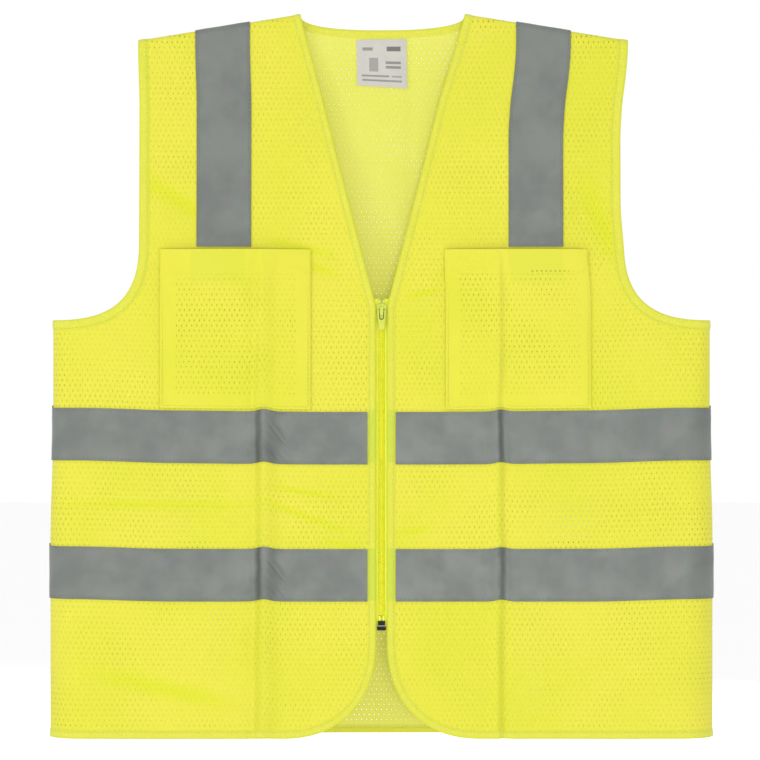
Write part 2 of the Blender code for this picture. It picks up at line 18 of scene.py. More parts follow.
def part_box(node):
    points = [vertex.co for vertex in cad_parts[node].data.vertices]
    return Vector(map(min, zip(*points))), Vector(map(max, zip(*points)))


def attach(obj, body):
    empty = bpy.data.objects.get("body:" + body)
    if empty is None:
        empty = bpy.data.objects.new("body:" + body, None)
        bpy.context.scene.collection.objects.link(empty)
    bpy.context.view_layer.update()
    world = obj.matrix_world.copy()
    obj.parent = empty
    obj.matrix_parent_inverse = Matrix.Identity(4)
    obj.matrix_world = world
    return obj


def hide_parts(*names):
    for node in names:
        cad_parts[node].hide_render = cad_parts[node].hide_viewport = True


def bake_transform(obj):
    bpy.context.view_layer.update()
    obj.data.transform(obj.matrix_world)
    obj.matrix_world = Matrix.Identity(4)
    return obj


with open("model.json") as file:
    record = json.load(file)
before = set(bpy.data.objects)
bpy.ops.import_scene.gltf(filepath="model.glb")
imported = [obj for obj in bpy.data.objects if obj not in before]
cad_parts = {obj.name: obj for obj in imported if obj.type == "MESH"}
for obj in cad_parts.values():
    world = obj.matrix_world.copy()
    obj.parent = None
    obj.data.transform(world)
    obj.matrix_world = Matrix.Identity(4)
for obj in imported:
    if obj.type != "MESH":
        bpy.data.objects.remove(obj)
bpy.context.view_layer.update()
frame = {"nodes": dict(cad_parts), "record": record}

FRONT, BACK = -1, 1
SIDES = {"right": -1, "left": 1}
JOINTS = {joint["name"]: joint for joint in frame["record"]["behaviour"]["joints"]}


def low(node):
    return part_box(node)[0]


def high(node):
    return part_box(node)[1]


# Layers, as distances out from the body
CLOTH = (0.0, 0.0007)
TAPE = (0.0012, 0.0017)
BINDING = (-0.00045, 0.00135)
BINDING_MIDDLE = sum(BINDING) / 2
BINDING_HALF = BINDING[1] - BINDING_MIDDLE

# The body, from the CAD's boxes. Trim stands past its sides and its shoulders by TRIM_PAST.
EDGE = high("back_hem_binding").z - low("back_hem_binding").z
ARMHOLE_EDGE = 0.0097
TRIM_PAST = 0.0009
SIDE_X = high("back_panel").x
BODY_X = SIDE_X - TRIM_PAST
HEM_Z = low("back_hem_binding").z
NECK_X = high("back_neck_binding").x - EDGE
NECK_Z = high("back_neck_binding").z + BINDING[0]
SHOULDER_X = low("left_armhole_binding_front").x + ARMHOLE_EDGE
SIDE_TOP_Z = low("left_armhole_binding_front").z + ARMHOLE_EDGE
upper_tape, lower_tape = low("left_upper_tape_end"), low("left_lower_tape_end")
LEAN = (upper_tape.y - lower_tape.y) / (upper_tape.z - lower_tape.z)
LEAN_LENGTH = math.hypot(1, LEAN)
TAPE_DEPTH = -lower_tape.y - TAPE[1] * LEAN_LENGTH
SIDE_ROUNDING = 1.3
RIDGE = 0.004
ROOF_SLOPE = 0.162
ROOF_Z = NECK_Z - TRIM_PAST
V_BOTTOM_Z = JOINTS["right_front_fold"]["pos_m"][2]
FRONT_EDGE_X = abs(high("right_front_edge_binding").x)
FOLD_X = JOINTS["left_front_fold"]["pos_m"][0]

# The curves of the outline. Lines run past the body's ends, and cloth tucks into its bindings.
BACK_NECK_DROP = 0.0145
BACK_NECK_POWER = 2.5
ARMHOLE_BEND_Z = -0.1925
ARMHOLE_POWER = 2.7
CORNER_TOP_Z = -0.560
CORNER_X = 0.092
CORNER_POWER = 2.3
PAST = 0.03
TUCK = 0.0015

# Creases pressed into each front, by x
CREASES = {"right": -0.1115, "left": 0.1080}

# How far each pocket's inner and outer edges are sewn from where they are drawn
POCKET_MOVES = {"right": (0.0052, 0.0062), "left": (-0.0010, -0.0052)}
POCKET_HEM = 0.0230

# Knit: the spacing of its holes and the size of a full one
HOLE_SPACING = (0.0046, 0.0094)
HOLE_SIZE = (0.00085, 0.0019)

# Stitches, and how far in from an edge they are sewn
STITCH = 0.0026
STITCH_GAP = 0.0008
THREAD = 0.00022
BINDING_STITCH_IN = 0.0018
BINDING_STITCH_OUT = BINDING[1] - 0.0006
TAPE_STITCH_IN = 0.0022
POCKET_STITCH_IN = 0.0022

# Tapes: half their width, how far a waist tape's top edge is turned in, and the gap from the last
# column before a side seam to the seam
TAPE_HALF = 0.025
TAPE_TURN = 0.0020
LAST_COLUMN = 0.003

# Added to the cloth coordinates of tapes, so that the painted shade of the fronts' fold lines doesn't show
# on them
SHOULDER_SHIFT = 1
BACK_SHIFT = 3

# From the top of the zip's pull to the foot of its window
WINDOW_REACH = 0.0088

# Steps along the lines that bindings follow, and along those of a pocket's stitches
LINE_STEP = 0.0008
POCKET_STEP = 0.002


# ---------------------------------------------------------------- the body


def half_depth(z):
    return TAPE_DEPTH + LEAN * (lower_tape.z - z)


def quarter(z):
    """Length of the rounded side, from the flat front to the side seam."""
    depth = half_depth(z)
    return math.pi / 2 * depth * math.sqrt((SIDE_ROUNDING**2 + 1) / 2)


def side_u(z):
    return BODY_X - SIDE_ROUNDING * half_depth(z) + quarter(z)


def u_of(x, z):
    """The u of a place seen from the front."""
    radius = SIDE_ROUNDING * half_depth(z)
    flat = BODY_X - radius
    share = np.clip((np.abs(x) - flat) / radius, 0, 1)
    round_u = flat + quarter(z) * np.arcsin(share) / (math.pi / 2)
    past = np.maximum(np.abs(x) - BODY_X, 0)
    return np.sign(x) * np.where(np.abs(x) > flat, round_u + past, np.abs(x))


def roof(x):
    return ROOF_Z - ROOF_SLOPE * np.maximum(np.abs(x) - NECK_X, 0)


def bare(u, v, depth):
    """The body itself, without creases."""
    radius = SIDE_ROUNDING * half_depth(v)
    flat = BODY_X - radius
    turn = np.maximum((np.abs(u) - flat) / quarter(v), 0) * math.pi / 2
    x = np.sign(u) * (np.minimum(np.abs(u), flat) + radius * np.sin(turn))
    start = roof(x) - RIDGE
    rise = np.clip((v - start) / RIDGE, 0, 1.1) * math.pi / 2
    z = np.minimum(v, start) + RIDGE * np.sin(rise)
    y = depth * half_depth(z) * np.cos(turn) * np.cos(rise)
    return np.stack((x, y, z), axis=-1)


def smooth(value, start, end):
    share = np.clip((value - start) / (end - start), 0, 1)
    return share * share * (3 - 2 * share)


def bell(value, width):
    return np.exp(-((value / width) ** 2))


def crease(u, v, place, way, reach, width, depth):
    """One crease: a ridge along a line through place, as long as twice reach."""
    along = (u - place[0]) * way[0] + (v - place[1]) * way[1]
    across = (u - place[0]) * way[1] - (v - place[1]) * way[0]
    return depth * bell(along, reach) * bell(across, width)


def pressed_fold(u, v, side):
    """The sharp fold up each front: a ridge with a steep side and a long side."""
    offset = u - CREASES["left" if side > 0 else "right"]
    offset = offset - 0.0012 * np.sin(v * 23) - 0.0006 * np.sin(v * 61 + 1)
    strength = smooth(v, -0.185, -0.250) * (0.7 + 0.3 * np.sin(v * 37 + 0.5) ** 2)
    if side < 0:
        ridge = smooth(offset, -0.0045, 0.0015) * smooth(offset, 0.0170, 0.0025)
        shape = 0.0036 * ridge - 0.0012 * bell(offset + 0.0065, 0.0040)
    else:
        ridge = smooth(offset, -0.0130, -0.0010) * smooth(offset, 0.0040, -0.0005)
        shape = 0.0030 * ridge - 0.0012 * bell(offset - 0.0055, 0.0032)
    return strength * shape


# Soft rolls and dips of the fronts: place, way, half length, width, and height out of the cloth
FRONT_ROLLS = (
    ((-0.205, -0.4365), (1.0, 0.02), 0.085, 0.0055, -0.0016),
    ((-0.205, -0.4290), (1.0, 0.03), 0.080, 0.0080, 0.0013),
    ((0.200, -0.4450), (1.0, -0.05), 0.070, 0.0090, 0.0010),
    ((-0.075, -0.2010), (0.97, -0.22), 0.035, 0.0060, -0.0014),
    ((-0.066, -0.2170), (0.95, -0.31), 0.030, 0.0070, -0.0010),
    ((-0.098, -0.3870), (0.75, -0.66), 0.022, 0.0030, -0.0009),
    ((-0.094, -0.3700), (0.70, -0.71), 0.018, 0.0035, 0.0008),
    ((0.120, -0.1080), (0.25, -0.97), 0.060, 0.0110, 0.0013),
    ((0.205, -0.1800), (0.40, -0.92), 0.050, 0.0140, -0.0013),
    ((-0.190, -0.1550), (0.85, -0.52), 0.050, 0.0110, -0.0011),
    ((0.060, -0.6020), (0.85, -0.52), 0.055, 0.0120, 0.0015),
    ((-0.200, -0.6050), (0.97, -0.22), 0.070, 0.0120, -0.0012),
    ((0.230, -0.2900), (0.70, 0.71), 0.050, 0.0120, 0.0013),
    ((-0.240, -0.2950), (0.80, -0.60), 0.050, 0.0120, 0.0012),
    ((0.040, -0.2420), (0.97, 0.22), 0.020, 0.0045, -0.0015),
    ((0.075, -0.2180), (0.90, 0.43), 0.030, 0.0070, -0.0013),
    ((-0.0700, -0.4460), (0.94, -0.34), 0.045, 0.0050, -0.0010),
    ((-0.0700, -0.4236), (0.98, -0.18), 0.034, 0.0042, -0.0008),
    ((-0.1400, -0.4378), (1.0, 0.07), 0.028, 0.0020, -0.0004),
    ((-0.0380, -0.4710), (0.95, -0.20), 0.018, 0.0040, -0.0007),
    ((0.0300, -0.4590), (1.0, 0.15), 0.018, 0.0045, -0.0008),
)


# The same for the back
BACK_ROLLS = (
    ((0.027, -0.075), (0.03, 1.0), 0.085, 0.0040, 0.0018),
    ((-0.150, -0.250), (0.25, 0.97), 0.120, 0.0100, 0.0020),
    ((0.170, -0.300), (-0.20, 0.98), 0.120, 0.0110, 0.0018),
    ((0.020, -0.440), (1.00, 0.06), 0.160, 0.0090, 0.0014),
    ((-0.060, -0.590), (0.50, 0.87), 0.080, 0.0140, 0.0016),
)


def front_creases(u, v):
    total = sum(pressed_fold(u, v, side) for side in SIDES.values())
    total = total + sum(crease(u, v, *roll) for roll in FRONT_ROLLS)
    waves = 0.0009 * np.sin(u * 33 + 1.3) * np.sin(v * 19 + 0.4)
    return total + waves + 0.0005 * np.sin(u * 71 + v * 17) * np.sin(v * 43 + 2)


def back_creases(u, v):
    total = sum(crease(u, v, *roll) for roll in BACK_ROLLS)
    waves = 0.0010 * np.sin(u * 29 + 0.4) * np.sin(v * 17 + 1.1)
    return total + waves + 0.0005 * np.sin(u * 63 - v * 21) * np.sin(v * 39)


def drape(u, v, depth):
    """How far the creases move the cloth out, nothing at the zip, the shoulders and the sides."""
    shape = front_creases(u, v) if depth == FRONT else back_creases(u, v)
    calm = smooth(side_u(v) - np.abs(u), 0.0, 0.030) * smooth(roof(u) - v, 0.0, 0.040)
    if depth == FRONT:
        calm = calm * smooth(np.abs(u), 0.016, 0.045)
    return shape * calm


def lift(u, v, depth):
    """How far the pressed folds draw the cloth up, and how far its middle sags."""
    if depth == BACK:
        return np.zeros_like(u)
    rise = 0.0022 * bell(u - CREASES["right"] - 0.004, 0.008)
    rise = rise + 0.0018 * bell(u - CREASES["left"] - 0.001, 0.007)
    rise = rise * smooth(v, -0.24, -0.32) * smooth(v, HEM_Z - 0.02, HEM_Z + 0.05)
    sag = smooth(v, -0.05, -0.13) * smooth(v, HEM_Z + 0.02, HEM_Z + 0.12)
    sag = 0.0022 * sag * smooth(side_u(v) - np.abs(u), 0.03, 0.12)
    sag = sag + 0.0017 * bell(v + 0.373, 0.085) * smooth(np.abs(u), 0.24, 0.04)
    return rise - sag * smooth(np.abs(u), 0.002, 0.010)


def spread(u, v):
    """How far the vest lies to the side of its drawn place, as it was laid out."""
    top = smooth(v, -0.075, -0.015)
    edge = smooth(u, 0.192, 0.214)
    fade = edge * smooth(v, -0.210, -0.160) + (1 - edge) * smooth(v, -0.250, -0.200)
    chest = smooth(v, -0.045, -0.105) * fade
    left = smooth(u, 0.03, 0.10) * (0.0042 * top - 0.0030 * chest)
    right = -0.0014 * smooth(-u, 0.03, 0.10) * top
    foot = 0.0025 * smooth(v, -0.36, -0.47) * smooth(np.abs(u), 0.15, 0.30) * np.sign(u)
    return left + right + foot


def in_place(u, v, out, depth):
    """Points of the vest from u, v and the distance out."""
    step = 1e-4
    u, v, out = np.broadcast_arrays(u, v, out)
    across = bare(u + step, v, depth) - bare(u - step, v, depth)
    up = bare(u, v + step / 2, depth) - bare(u, v - step / 2, depth)
    normal = -depth * np.cross(across, up)
    normal /= np.maximum(np.linalg.norm(normal, axis=-1, keepdims=True), 1e-15)
    places = bare(u, v, depth) + normal * (out + drape(u, v, depth))[..., None]
    places[..., 0] += spread(u, v)
    places[..., 2] += lift(u, v, depth)
    return places


# ---------------------------------------------------------------- meshes


def make_object(name, places, faces, uvs, material, smooth_angle=40):
    mesh = bpy.data.meshes.new(name)
    mesh.from_pydata(places.reshape(-1, 3).tolist(), [], faces)
    layer = mesh.uv_layers.new(name="cloth")
    corners = np.empty(len(mesh.loops), np.int32)
    mesh.loops.foreach_get("vertex_index", corners)
    layer.data.foreach_set("uv", uvs.reshape(-1, 2)[corners].astype(np.float32).ravel())
    mesh.shade_smooth()
    mesh.set_sharp_from_angle(angle=math.radians(smooth_angle))
    mesh.materials.append(material)
    obj = bpy.data.objects.new(name, mesh)
    bpy.context.scene.collection.objects.link(obj)
    return obj


def turned_over(faces):
    return [face[::-1] for face in faces]


def grid_faces(rows, points):
    """Faces between neighbouring rows of points."""
    faces = []
    for row in range(rows - 1):
        for point in range(points - 1):
            a = row * points + point
            faces.append((a, a + points, a + points + 1, a + 1))
    return faces


def tube_faces(rings, points, start=0):
    """Faces of a closed tube: between neighbouring rings of points and at its two ends."""
    faces = []
    for ring in range(start, start + rings * points - points, points):
        for point in range(points):
            a, b = ring + point, ring + (point + 1) % points
            faces.append((a, b, b + points, a + points))
    last = start + (rings - 1) * points
    faces.append(tuple(range(start, start + points))[::-1])
    faces.append(tuple(range(last, last + points)))
    return faces


def both_sides(faces, count):
    """Faces of a closed sheet of count points a side: its outer and inner side and their rim."""
    directed = {edge for face in faces for edge in zip(face, face[1:] + face[:1])}
    rim = sorted((a, b) for a, b in directed if (b, a) not in directed)
    outer = [tuple(index + count for index in face) for face in faces]
    return outer + turned_over(faces) + [(a, b, b + count, a + count) for a, b in rim]


def make_outward(obj):
    """Turns every face to point out of its own closed piece."""
    shape = bmesh.new()
    shape.from_mesh(obj.data)
    bmesh.ops.recalc_face_normals(shape, faces=shape.faces)
    shape.to_mesh(obj.data)
    shape.free()


def solid_sheet(name, points, faces, layers, depth, material, puff=None, flat=None):
    """A closed sheet from faces in u and v: an outer and an inner side and their rim."""
    points = np.asarray(points, float)
    u, v = points[:, 0], points[:, 1]
    extra = puff(u, v) if puff is not None else 0.0
    inner = in_place(u, v, layers[0] + extra, depth)
    outer = in_place(u, v, layers[1] + extra, depth)
    faces = both_sides(faces, len(points))
    if depth == BACK:
        faces = turned_over(faces)
    flat = points if flat is None else flat
    return make_object(name, np.concatenate((inner, outer)), faces, np.concatenate((flat, flat)), material)


def columns(start, end, coarse=0.0045, fine=0.0013):
    """u values from start to end, closer together at the creases and at the fold."""
    fine_places = [FOLD_X, -FOLD_X, *CREASES.values()]
    reach = 0.020
    values = [start]
    while values[-1] < end:
        near = min(abs(values[-1] - place) for place in fine_places)
        share = min(max((near - 0.010) / reach, 0), 1)
        values.append(values[-1] + fine + (coarse - fine) * share)
    values[-1] = end
    if len(values) > 2 and values[-1] - values[-2] < 0.3 * fine:
        del values[-2]
    return np.array(values)


def inside(points, outline):
    """Which points lie inside a closed outline."""
    result = np.zeros(len(points), bool)
    x, y = points[:, 0], points[:, 1]
    for (x1, y1), (x2, y2) in zip(outline, np.roll(outline, -1, axis=0)):
        if y1 == y2:
            continue
        crosses = (y1 > y) != (y2 > y)
        result ^= crosses & (x < (x2 - x1) * (y - y1) / (y2 - y1) + x1)
    return result


def from_edge(points, outline):
    """Each point's distance to a closed outline."""
    best = np.full(len(points), np.inf)
    for start, end in zip(outline, np.roll(outline, -1, axis=0)):
        way = end - start
        share = np.clip(((points - start) @ way) / max(way @ way, 1e-18), 0, 1)
        gap = points - (start + share[:, None] * way)
        best = np.minimum(best, np.hypot(gap[:, 0], gap[:, 1]))
    return best


def filled(outline, row=0.0048, spacing=0.003):
    """Points and triangles that fill a closed outline in u and v."""
    outline = resampled(np.vstack((outline, outline[:1])), spacing)[:-1]
    start, end = outline.min(0), outline.max(0)
    inner = []
    for index, u in enumerate(columns(start[0], end[0])):
        rows = np.arange(start[1] + (index % 2) * row / 2, end[1], row)
        inner.append(np.stack((np.full(len(rows), u), rows), axis=-1))
    inner = np.concatenate(inner)
    on_ridge = 1.3 * RIDGE
    inner = inner[inner[:, 1] < roof(inner[:, 0]) - on_ridge]
    ridge_u = np.arange(start[0], end[0], spacing)
    for below in np.arange(0.001, 1.2 * RIDGE, 0.0009):
        inner = np.vstack((inner, np.stack((ridge_u, roof(ridge_u) - below), axis=-1)))
    inner = inner[inside(inner, outline)]
    clear = np.where(inner[:, 1] > roof(inner[:, 0]) - on_ridge, 0.0006, 0.0016)
    inner = inner[from_edge(inner, outline) > clear]
    points = np.vstack((outline, inner))
    count = len(outline)
    edges = [(index, (index + 1) % count) for index in range(count)]
    result = delaunay_2d_cdt([Vector(p) for p in points], edges, [], 1, 1e-7)
    points = np.array([tuple(p) for p in result[0]])
    faces = []
    for face in result[2]:
        a, b, c = (points[index] for index in face)
        turn = (b[0] - a[0]) * (c[1] - a[1]) - (b[1] - a[1]) * (c[0] - a[0])
        faces.append(tuple(face) if turn > 0 else tuple(face[::-1]))
    return points, faces


def grid(us, vs, seams=()):
    """Points and faces of a rectangle in u and v. The columns in seams follow the side seams."""
    points = np.stack(np.meshgrid(us, vs, indexing="ij"), axis=-1)
    for column in seams:
        points[column, :, 0] = np.sign(us[column]) * side_u(vs)
    return points.reshape(-1, 2), grid_faces(len(us), len(vs))


def mirrored(points, faces, side):
    """Points and faces of the wearer's left side, moved to the side they are for."""
    if side > 0:
        return points, faces
    return points * (-1, 1), turned_over(faces)


# ---------------------------------------------------------------- lines


def superarc(centre, radii, power, start, end, steps=90):
    """Points round a superellipse, from one angle to another, in degrees."""
    angles = np.radians(np.linspace(start, end, steps + 1))
    across = np.sign(np.cos(angles)) * np.abs(np.cos(angles)) ** (2 / power)
    up = np.sign(np.sin(angles)) * np.abs(np.sin(angles)) ** (2 / power)
    return np.stack((centre[0] + radii[0] * across, centre[1] + radii[1] * up), axis=-1)


def resampled(line, spacing):
    """The same line with even steps of about this length."""
    line = np.asarray(line, float)
    steps = np.hypot(*np.diff(line, axis=0).T)
    keep = np.concatenate(([True], steps > 1e-9))
    line = line[keep]
    length = np.concatenate(([0], np.cumsum(np.hypot(*np.diff(line, axis=0).T))))
    count = max(int(round(length[-1] / spacing)), 1)
    even = np.linspace(0, length[-1], count + 1)
    return np.stack([np.interp(even, length, line[:, axis]) for axis in (0, 1)], axis=-1)


def ways(line):
    """The direction of a line at each of its points."""
    result = np.gradient(line, axis=0)
    return result / np.maximum(np.hypot(*result.T), 1e-15)[:, None]


def on_body(line):
    """A line in x and z as an even line in u and v."""
    x, z = resampled(line, LINE_STEP).T
    return resampled(np.stack((u_of(x, z), z), axis=-1), LINE_STEP)


def front_line():
    """Down the V, the front edge and the rounded corner, then out along the hem."""
    slant = (NECK_X - FRONT_EDGE_X) / (NECK_Z - V_BOTTOM_Z)
    radii = (CORNER_X - FRONT_EDGE_X, CORNER_TOP_Z - HEM_Z)
    corner = superarc((CORNER_X, CORNER_TOP_Z), radii, CORNER_POWER, 180, 270)
    top = (NECK_X + slant * PAST, NECK_Z + PAST)
    ends = (top, (FRONT_EDGE_X, V_BOTTOM_Z)), ((SIDE_X + PAST, HEM_Z),)
    return on_body(np.vstack((ends[0], corner, ends[1])))


def armhole_line():
    """In from the side seam, round the armhole and up to the shoulder."""
    radii = (SIDE_X - SHOULDER_X, ARMHOLE_BEND_Z - SIDE_TOP_Z)
    bend = superarc((SIDE_X, ARMHOLE_BEND_Z), radii, ARMHOLE_POWER, 270, 180)
    return on_body(np.vstack(((SIDE_X + PAST, SIDE_TOP_Z), bend, (SHOULDER_X, PAST))))


def neck_line():
    """Round the back of the neck, from the wearer's left shoulder to the right one."""
    dip = superarc((0, NECK_Z), (NECK_X, BACK_NECK_DROP), BACK_NECK_POWER, 0, -180)
    ends = (NECK_X, NECK_Z + PAST), (-NECK_X, NECK_Z + PAST)
    return on_body(np.vstack((ends[0], dip, ends[1])))


def hem_line():
    return on_body(np.array(((-SIDE_X - PAST, HEM_Z), (SIDE_X + PAST, HEM_Z))))


def past_end(points):
    """How far points lie past the roof or the side seam, in v or in u."""
    over = points[..., 1] - roof(points[..., 0])
    beyond = np.abs(points[..., 0]) - side_u(points[..., 1])
    return np.maximum(over, beyond)


FLAT_WAY = 0.2  # a way with less rise or run than this doesn't lead to the roof or to the side seam


def at_end(points, way):
    """Points moved along their way to the roof or the side seam, whichever is nearer."""
    points = points.copy()
    for _ in range(4):
        to_roof = (roof(points[:, 0]) - points[:, 1]) / np.where(abs(way[:, 1]) > FLAT_WAY, way[:, 1], 1e9)
        edge = np.sign(points[:, 0]) * side_u(points[:, 1])
        to_side = (edge - points[:, 0]) / np.where(abs(way[:, 0]) > FLAT_WAY, way[:, 0], 1e9)
        move = np.where(abs(way[:, 1]) > abs(way[:, 0]), to_roof, to_side)
        points = points + way * move[:, None]
    return points


def strip_rows(line, across):
    """Rows of points beside a line, one row a station, that end at the roof and the side seam."""
    way = ways(line)
    left = np.stack((-way[:, 1], way[:, 0]), axis=-1)
    rows = line[:, None, :] + left[:, None, :] * np.asarray(across)[None, :, None]
    kept = np.flatnonzero((past_end(rows) < -LINE_STEP / 2).all(axis=1))
    first, last = kept[0], kept[-1]
    start = at_end(rows[first], np.repeat(-way[first][None], len(across), axis=0))
    end = at_end(rows[last], np.repeat(way[last][None], len(across), axis=0))
    return np.concatenate((start[None], rows[first : last + 1], end[None]))


# ---------------------------------------------------------------- bindings and stitches


def binding(name, line, width, depth, side=1):
    """A strip folded round a raw edge and sewn: rounded at the fold, dipped along its stitches."""
    seam = 1 - BINDING_STITCH_IN / width
    beside_seam, fold_start = 0.0011, 0.00015
    share = np.array((1.0, 0.93, seam, seam - beside_seam / width, 0.50, 0.22, 0.07))
    rise = np.array((0.35, 0.62, 0.30, 0.82, 1.0, 0.98, 0.80, 0.42, 0.0))
    across = np.append(share * width, (fold_start, 0.0))
    across = np.concatenate((across, across[-2::-1]))
    outs = np.concatenate((rise, -rise[-2::-1])) * BINDING_HALF
    rows = strip_rows(line, across)
    stations, points = rows.shape[:2]
    along = np.arange(stations)[:, None] * LINE_STEP
    pucker = 0.16 * np.sin(along * 2 * math.pi / (STITCH + STITCH_GAP)) + 0.05 * np.sin(along * 211)
    middle = bell(across / width - 0.6, 0.35)
    out = BINDING_MIDDLE + outs * (1 + pucker * middle)
    places = in_place(rows[..., 0] * side, rows[..., 1], out, depth)
    faces = tube_faces(stations, points)
    if side * depth > 0:
        faces = turned_over(faces)
    uvs = np.stack(np.broadcast_arrays(along, across), axis=-1)
    return make_object(name, places, faces, uvs, LOOKS["binding"], 60)


class Thread:
    """Collects sewn stitches and makes one mesh of them."""

    # A stitch, from end to end: how far along, how wide and how high, and the corners of its section
    SHARES = np.array((0.0, 0.12, 0.5, 0.88, 1.0))
    WIDTHS = np.array((0.25, 0.85, 1.0, 0.85, 0.25))
    HEIGHTS = np.array((-1.6, 0.1, 0.55, 0.1, -1.6))
    CORNERS = ((1, 0), (0.5, 0.85), (-0.5, 0.85), (-1, 0), (-0.5, -0.85), (0.5, -0.85))

    def __init__(self):
        self.places = []
        self.faces = []
        self.count = 0

    def sew(self, line, out, depth, side=1, length=STITCH, gap=STITCH_GAP):
        """Stitches along a line in u and v, each a small bent capsule that dips at its ends."""
        line = np.asarray(line, float)
        steps = np.hypot(*np.diff(line, axis=0).T)
        run = np.concatenate(([0], np.cumsum(steps)))
        stitches = int(run[-1] / (length + gap))
        if stitches < 1:
            return
        starts = (np.arange(stitches) + 0.5) * run[-1] / stitches - length / 2
        at = starts[:, None] + self.SHARES * length
        u = np.interp(at, run, line[:, 0])
        v = np.interp(at, run, line[:, 1])
        way = np.stack((np.gradient(u, axis=1), np.gradient(v, axis=1)), -1)
        way /= np.maximum(np.linalg.norm(way, axis=-1, keepdims=True), 1e-15)
        widths, heights = self.WIDTHS * THREAD, self.HEIGHTS * THREAD
        rings = []
        for aside, above in self.CORNERS:
            corner_u = u - way[..., 1] * aside * widths
            corner_v = v + way[..., 0] * aside * widths
            rings.append(in_place(corner_u * side, corner_v, out + heights + above * widths, depth))
        self.places.append(np.stack(rings, axis=2).reshape(-1, 3))
        each = len(self.SHARES) * len(self.CORNERS)
        for stitch in range(stitches):
            start = self.count + stitch * each
            self.faces += tube_faces(len(self.SHARES), len(self.CORNERS), start)
        self.count += stitches * each

    def make(self, name, material):
        places = np.concatenate(self.places)
        obj = make_object(name, places, self.faces, places[:, [0, 2]], material, 70)
        make_outward(obj)
        return obj


def sew_binding(thread, line, width, depth, side=1):
    """The row of stitches that holds a binding, a little inside its inner edge."""
    row = strip_rows(line, (width - BINDING_STITCH_IN,))[:, 0]
    thread.sew(row[4:-4], BINDING_STITCH_OUT, depth, side)


def sew_tape(thread, us, bottom, top, depth, side=1):
    """The two rows of stitches along a tape that goes round the waist."""
    for v in (bottom + TAPE_STITCH_IN, top - TAPE_STITCH_IN):
        thread.sew(np.array([(u, v) for u in us]), TAPE[1], depth, side)


def sew_on(thread, line, out, puff, side):
    """Short runs of stitches that follow a puffed surface."""
    for start in range(0, len(line) - 1, 2):
        run = line[start : start + 3]
        height = float(puff(run[:, 0], run[:, 1]).mean())
        thread.sew(run, out + height, FRONT, side, length=0.0026, gap=0.0006)


# ---------------------------------------------------------------- materials

# Colours, as linear red, green and blue
YELLOW = (0.588, 0.556, 0.049)
DEEP_YELLOW = (0.520, 0.535, 0.026)
FOLD_SHADE_YELLOW = (0.42, 0.45, 0.012)
DIP_SHADE_YELLOW = (0.52, 0.55, 0.010)
UNDER_POCKET_HEM = (0.40, 0.50, 0.030)
NEEDLE_HOLE = (0.20, 0.21, 0.010)
UNDER_BINDING = (0.380, 0.500, 0.040)
WINDOW_SHADOW = (0.085, 0.115, 0.012)
STEP_HIGHLIGHT = (0.40, 0.41, 0.34)
TAPE_GREY = (0.154, 0.169, 0.153)
TAPE_CLOUD = (0.130, 0.142, 0.132)
TAPE_WARM = (0.164, 0.143, 0.162)
TAPE_COOL = (0.136, 0.154, 0.173)
TAPE_WEAVE = (0.11, 0.12, 0.11)
TAPE_FOLD_SHADE = (0.066, 0.074, 0.062)
TAPE_CRINKLE_SHADE = (0.078, 0.084, 0.076)
TAPE_EDGE = (0.085, 0.095, 0.065)
TAPE_STITCH = (0.09, 0.11, 0.06)
LABEL_WHITE = (0.450, 0.434, 0.390)
LABEL_SHADE = (0.400, 0.385, 0.345)
LABEL_PRINT = (0.10, 0.10, 0.10)

# Lines along the fronts' pressed folds where shade is painted: u, reach to each side and strength
FOLD_SHADE_LINES = ((-0.1124, 0.0046, 1.0), (-0.0990, 0.0095, 0.42), (0.1092, 0.0046, 0.8))

# Plain shapes on the label: x, distance below its top, half width, half height and strength
LABEL_SHAPES = (
    (0.0110, 0.0085, 0.0062, 0.0019, 0.95),
    (-0.0130, 0.0085, 0.0045, 0.0013, 0.68),
    (-0.0075, 0.0225, 0.0040, 0.0060, 0.55),
    (0.0105, 0.0205, 0.0068, 0.0010, 0.74),
    (0.0105, 0.0245, 0.0068, 0.0010, 0.74),
    (-0.0060, 0.0325, 0.0125, 0.0007, 0.68),
    (0.0135, 0.0325, 0.0045, 0.0007, 0.52),
    (0.0000, 0.0365, 0.0180, 0.0007, 0.68),
)


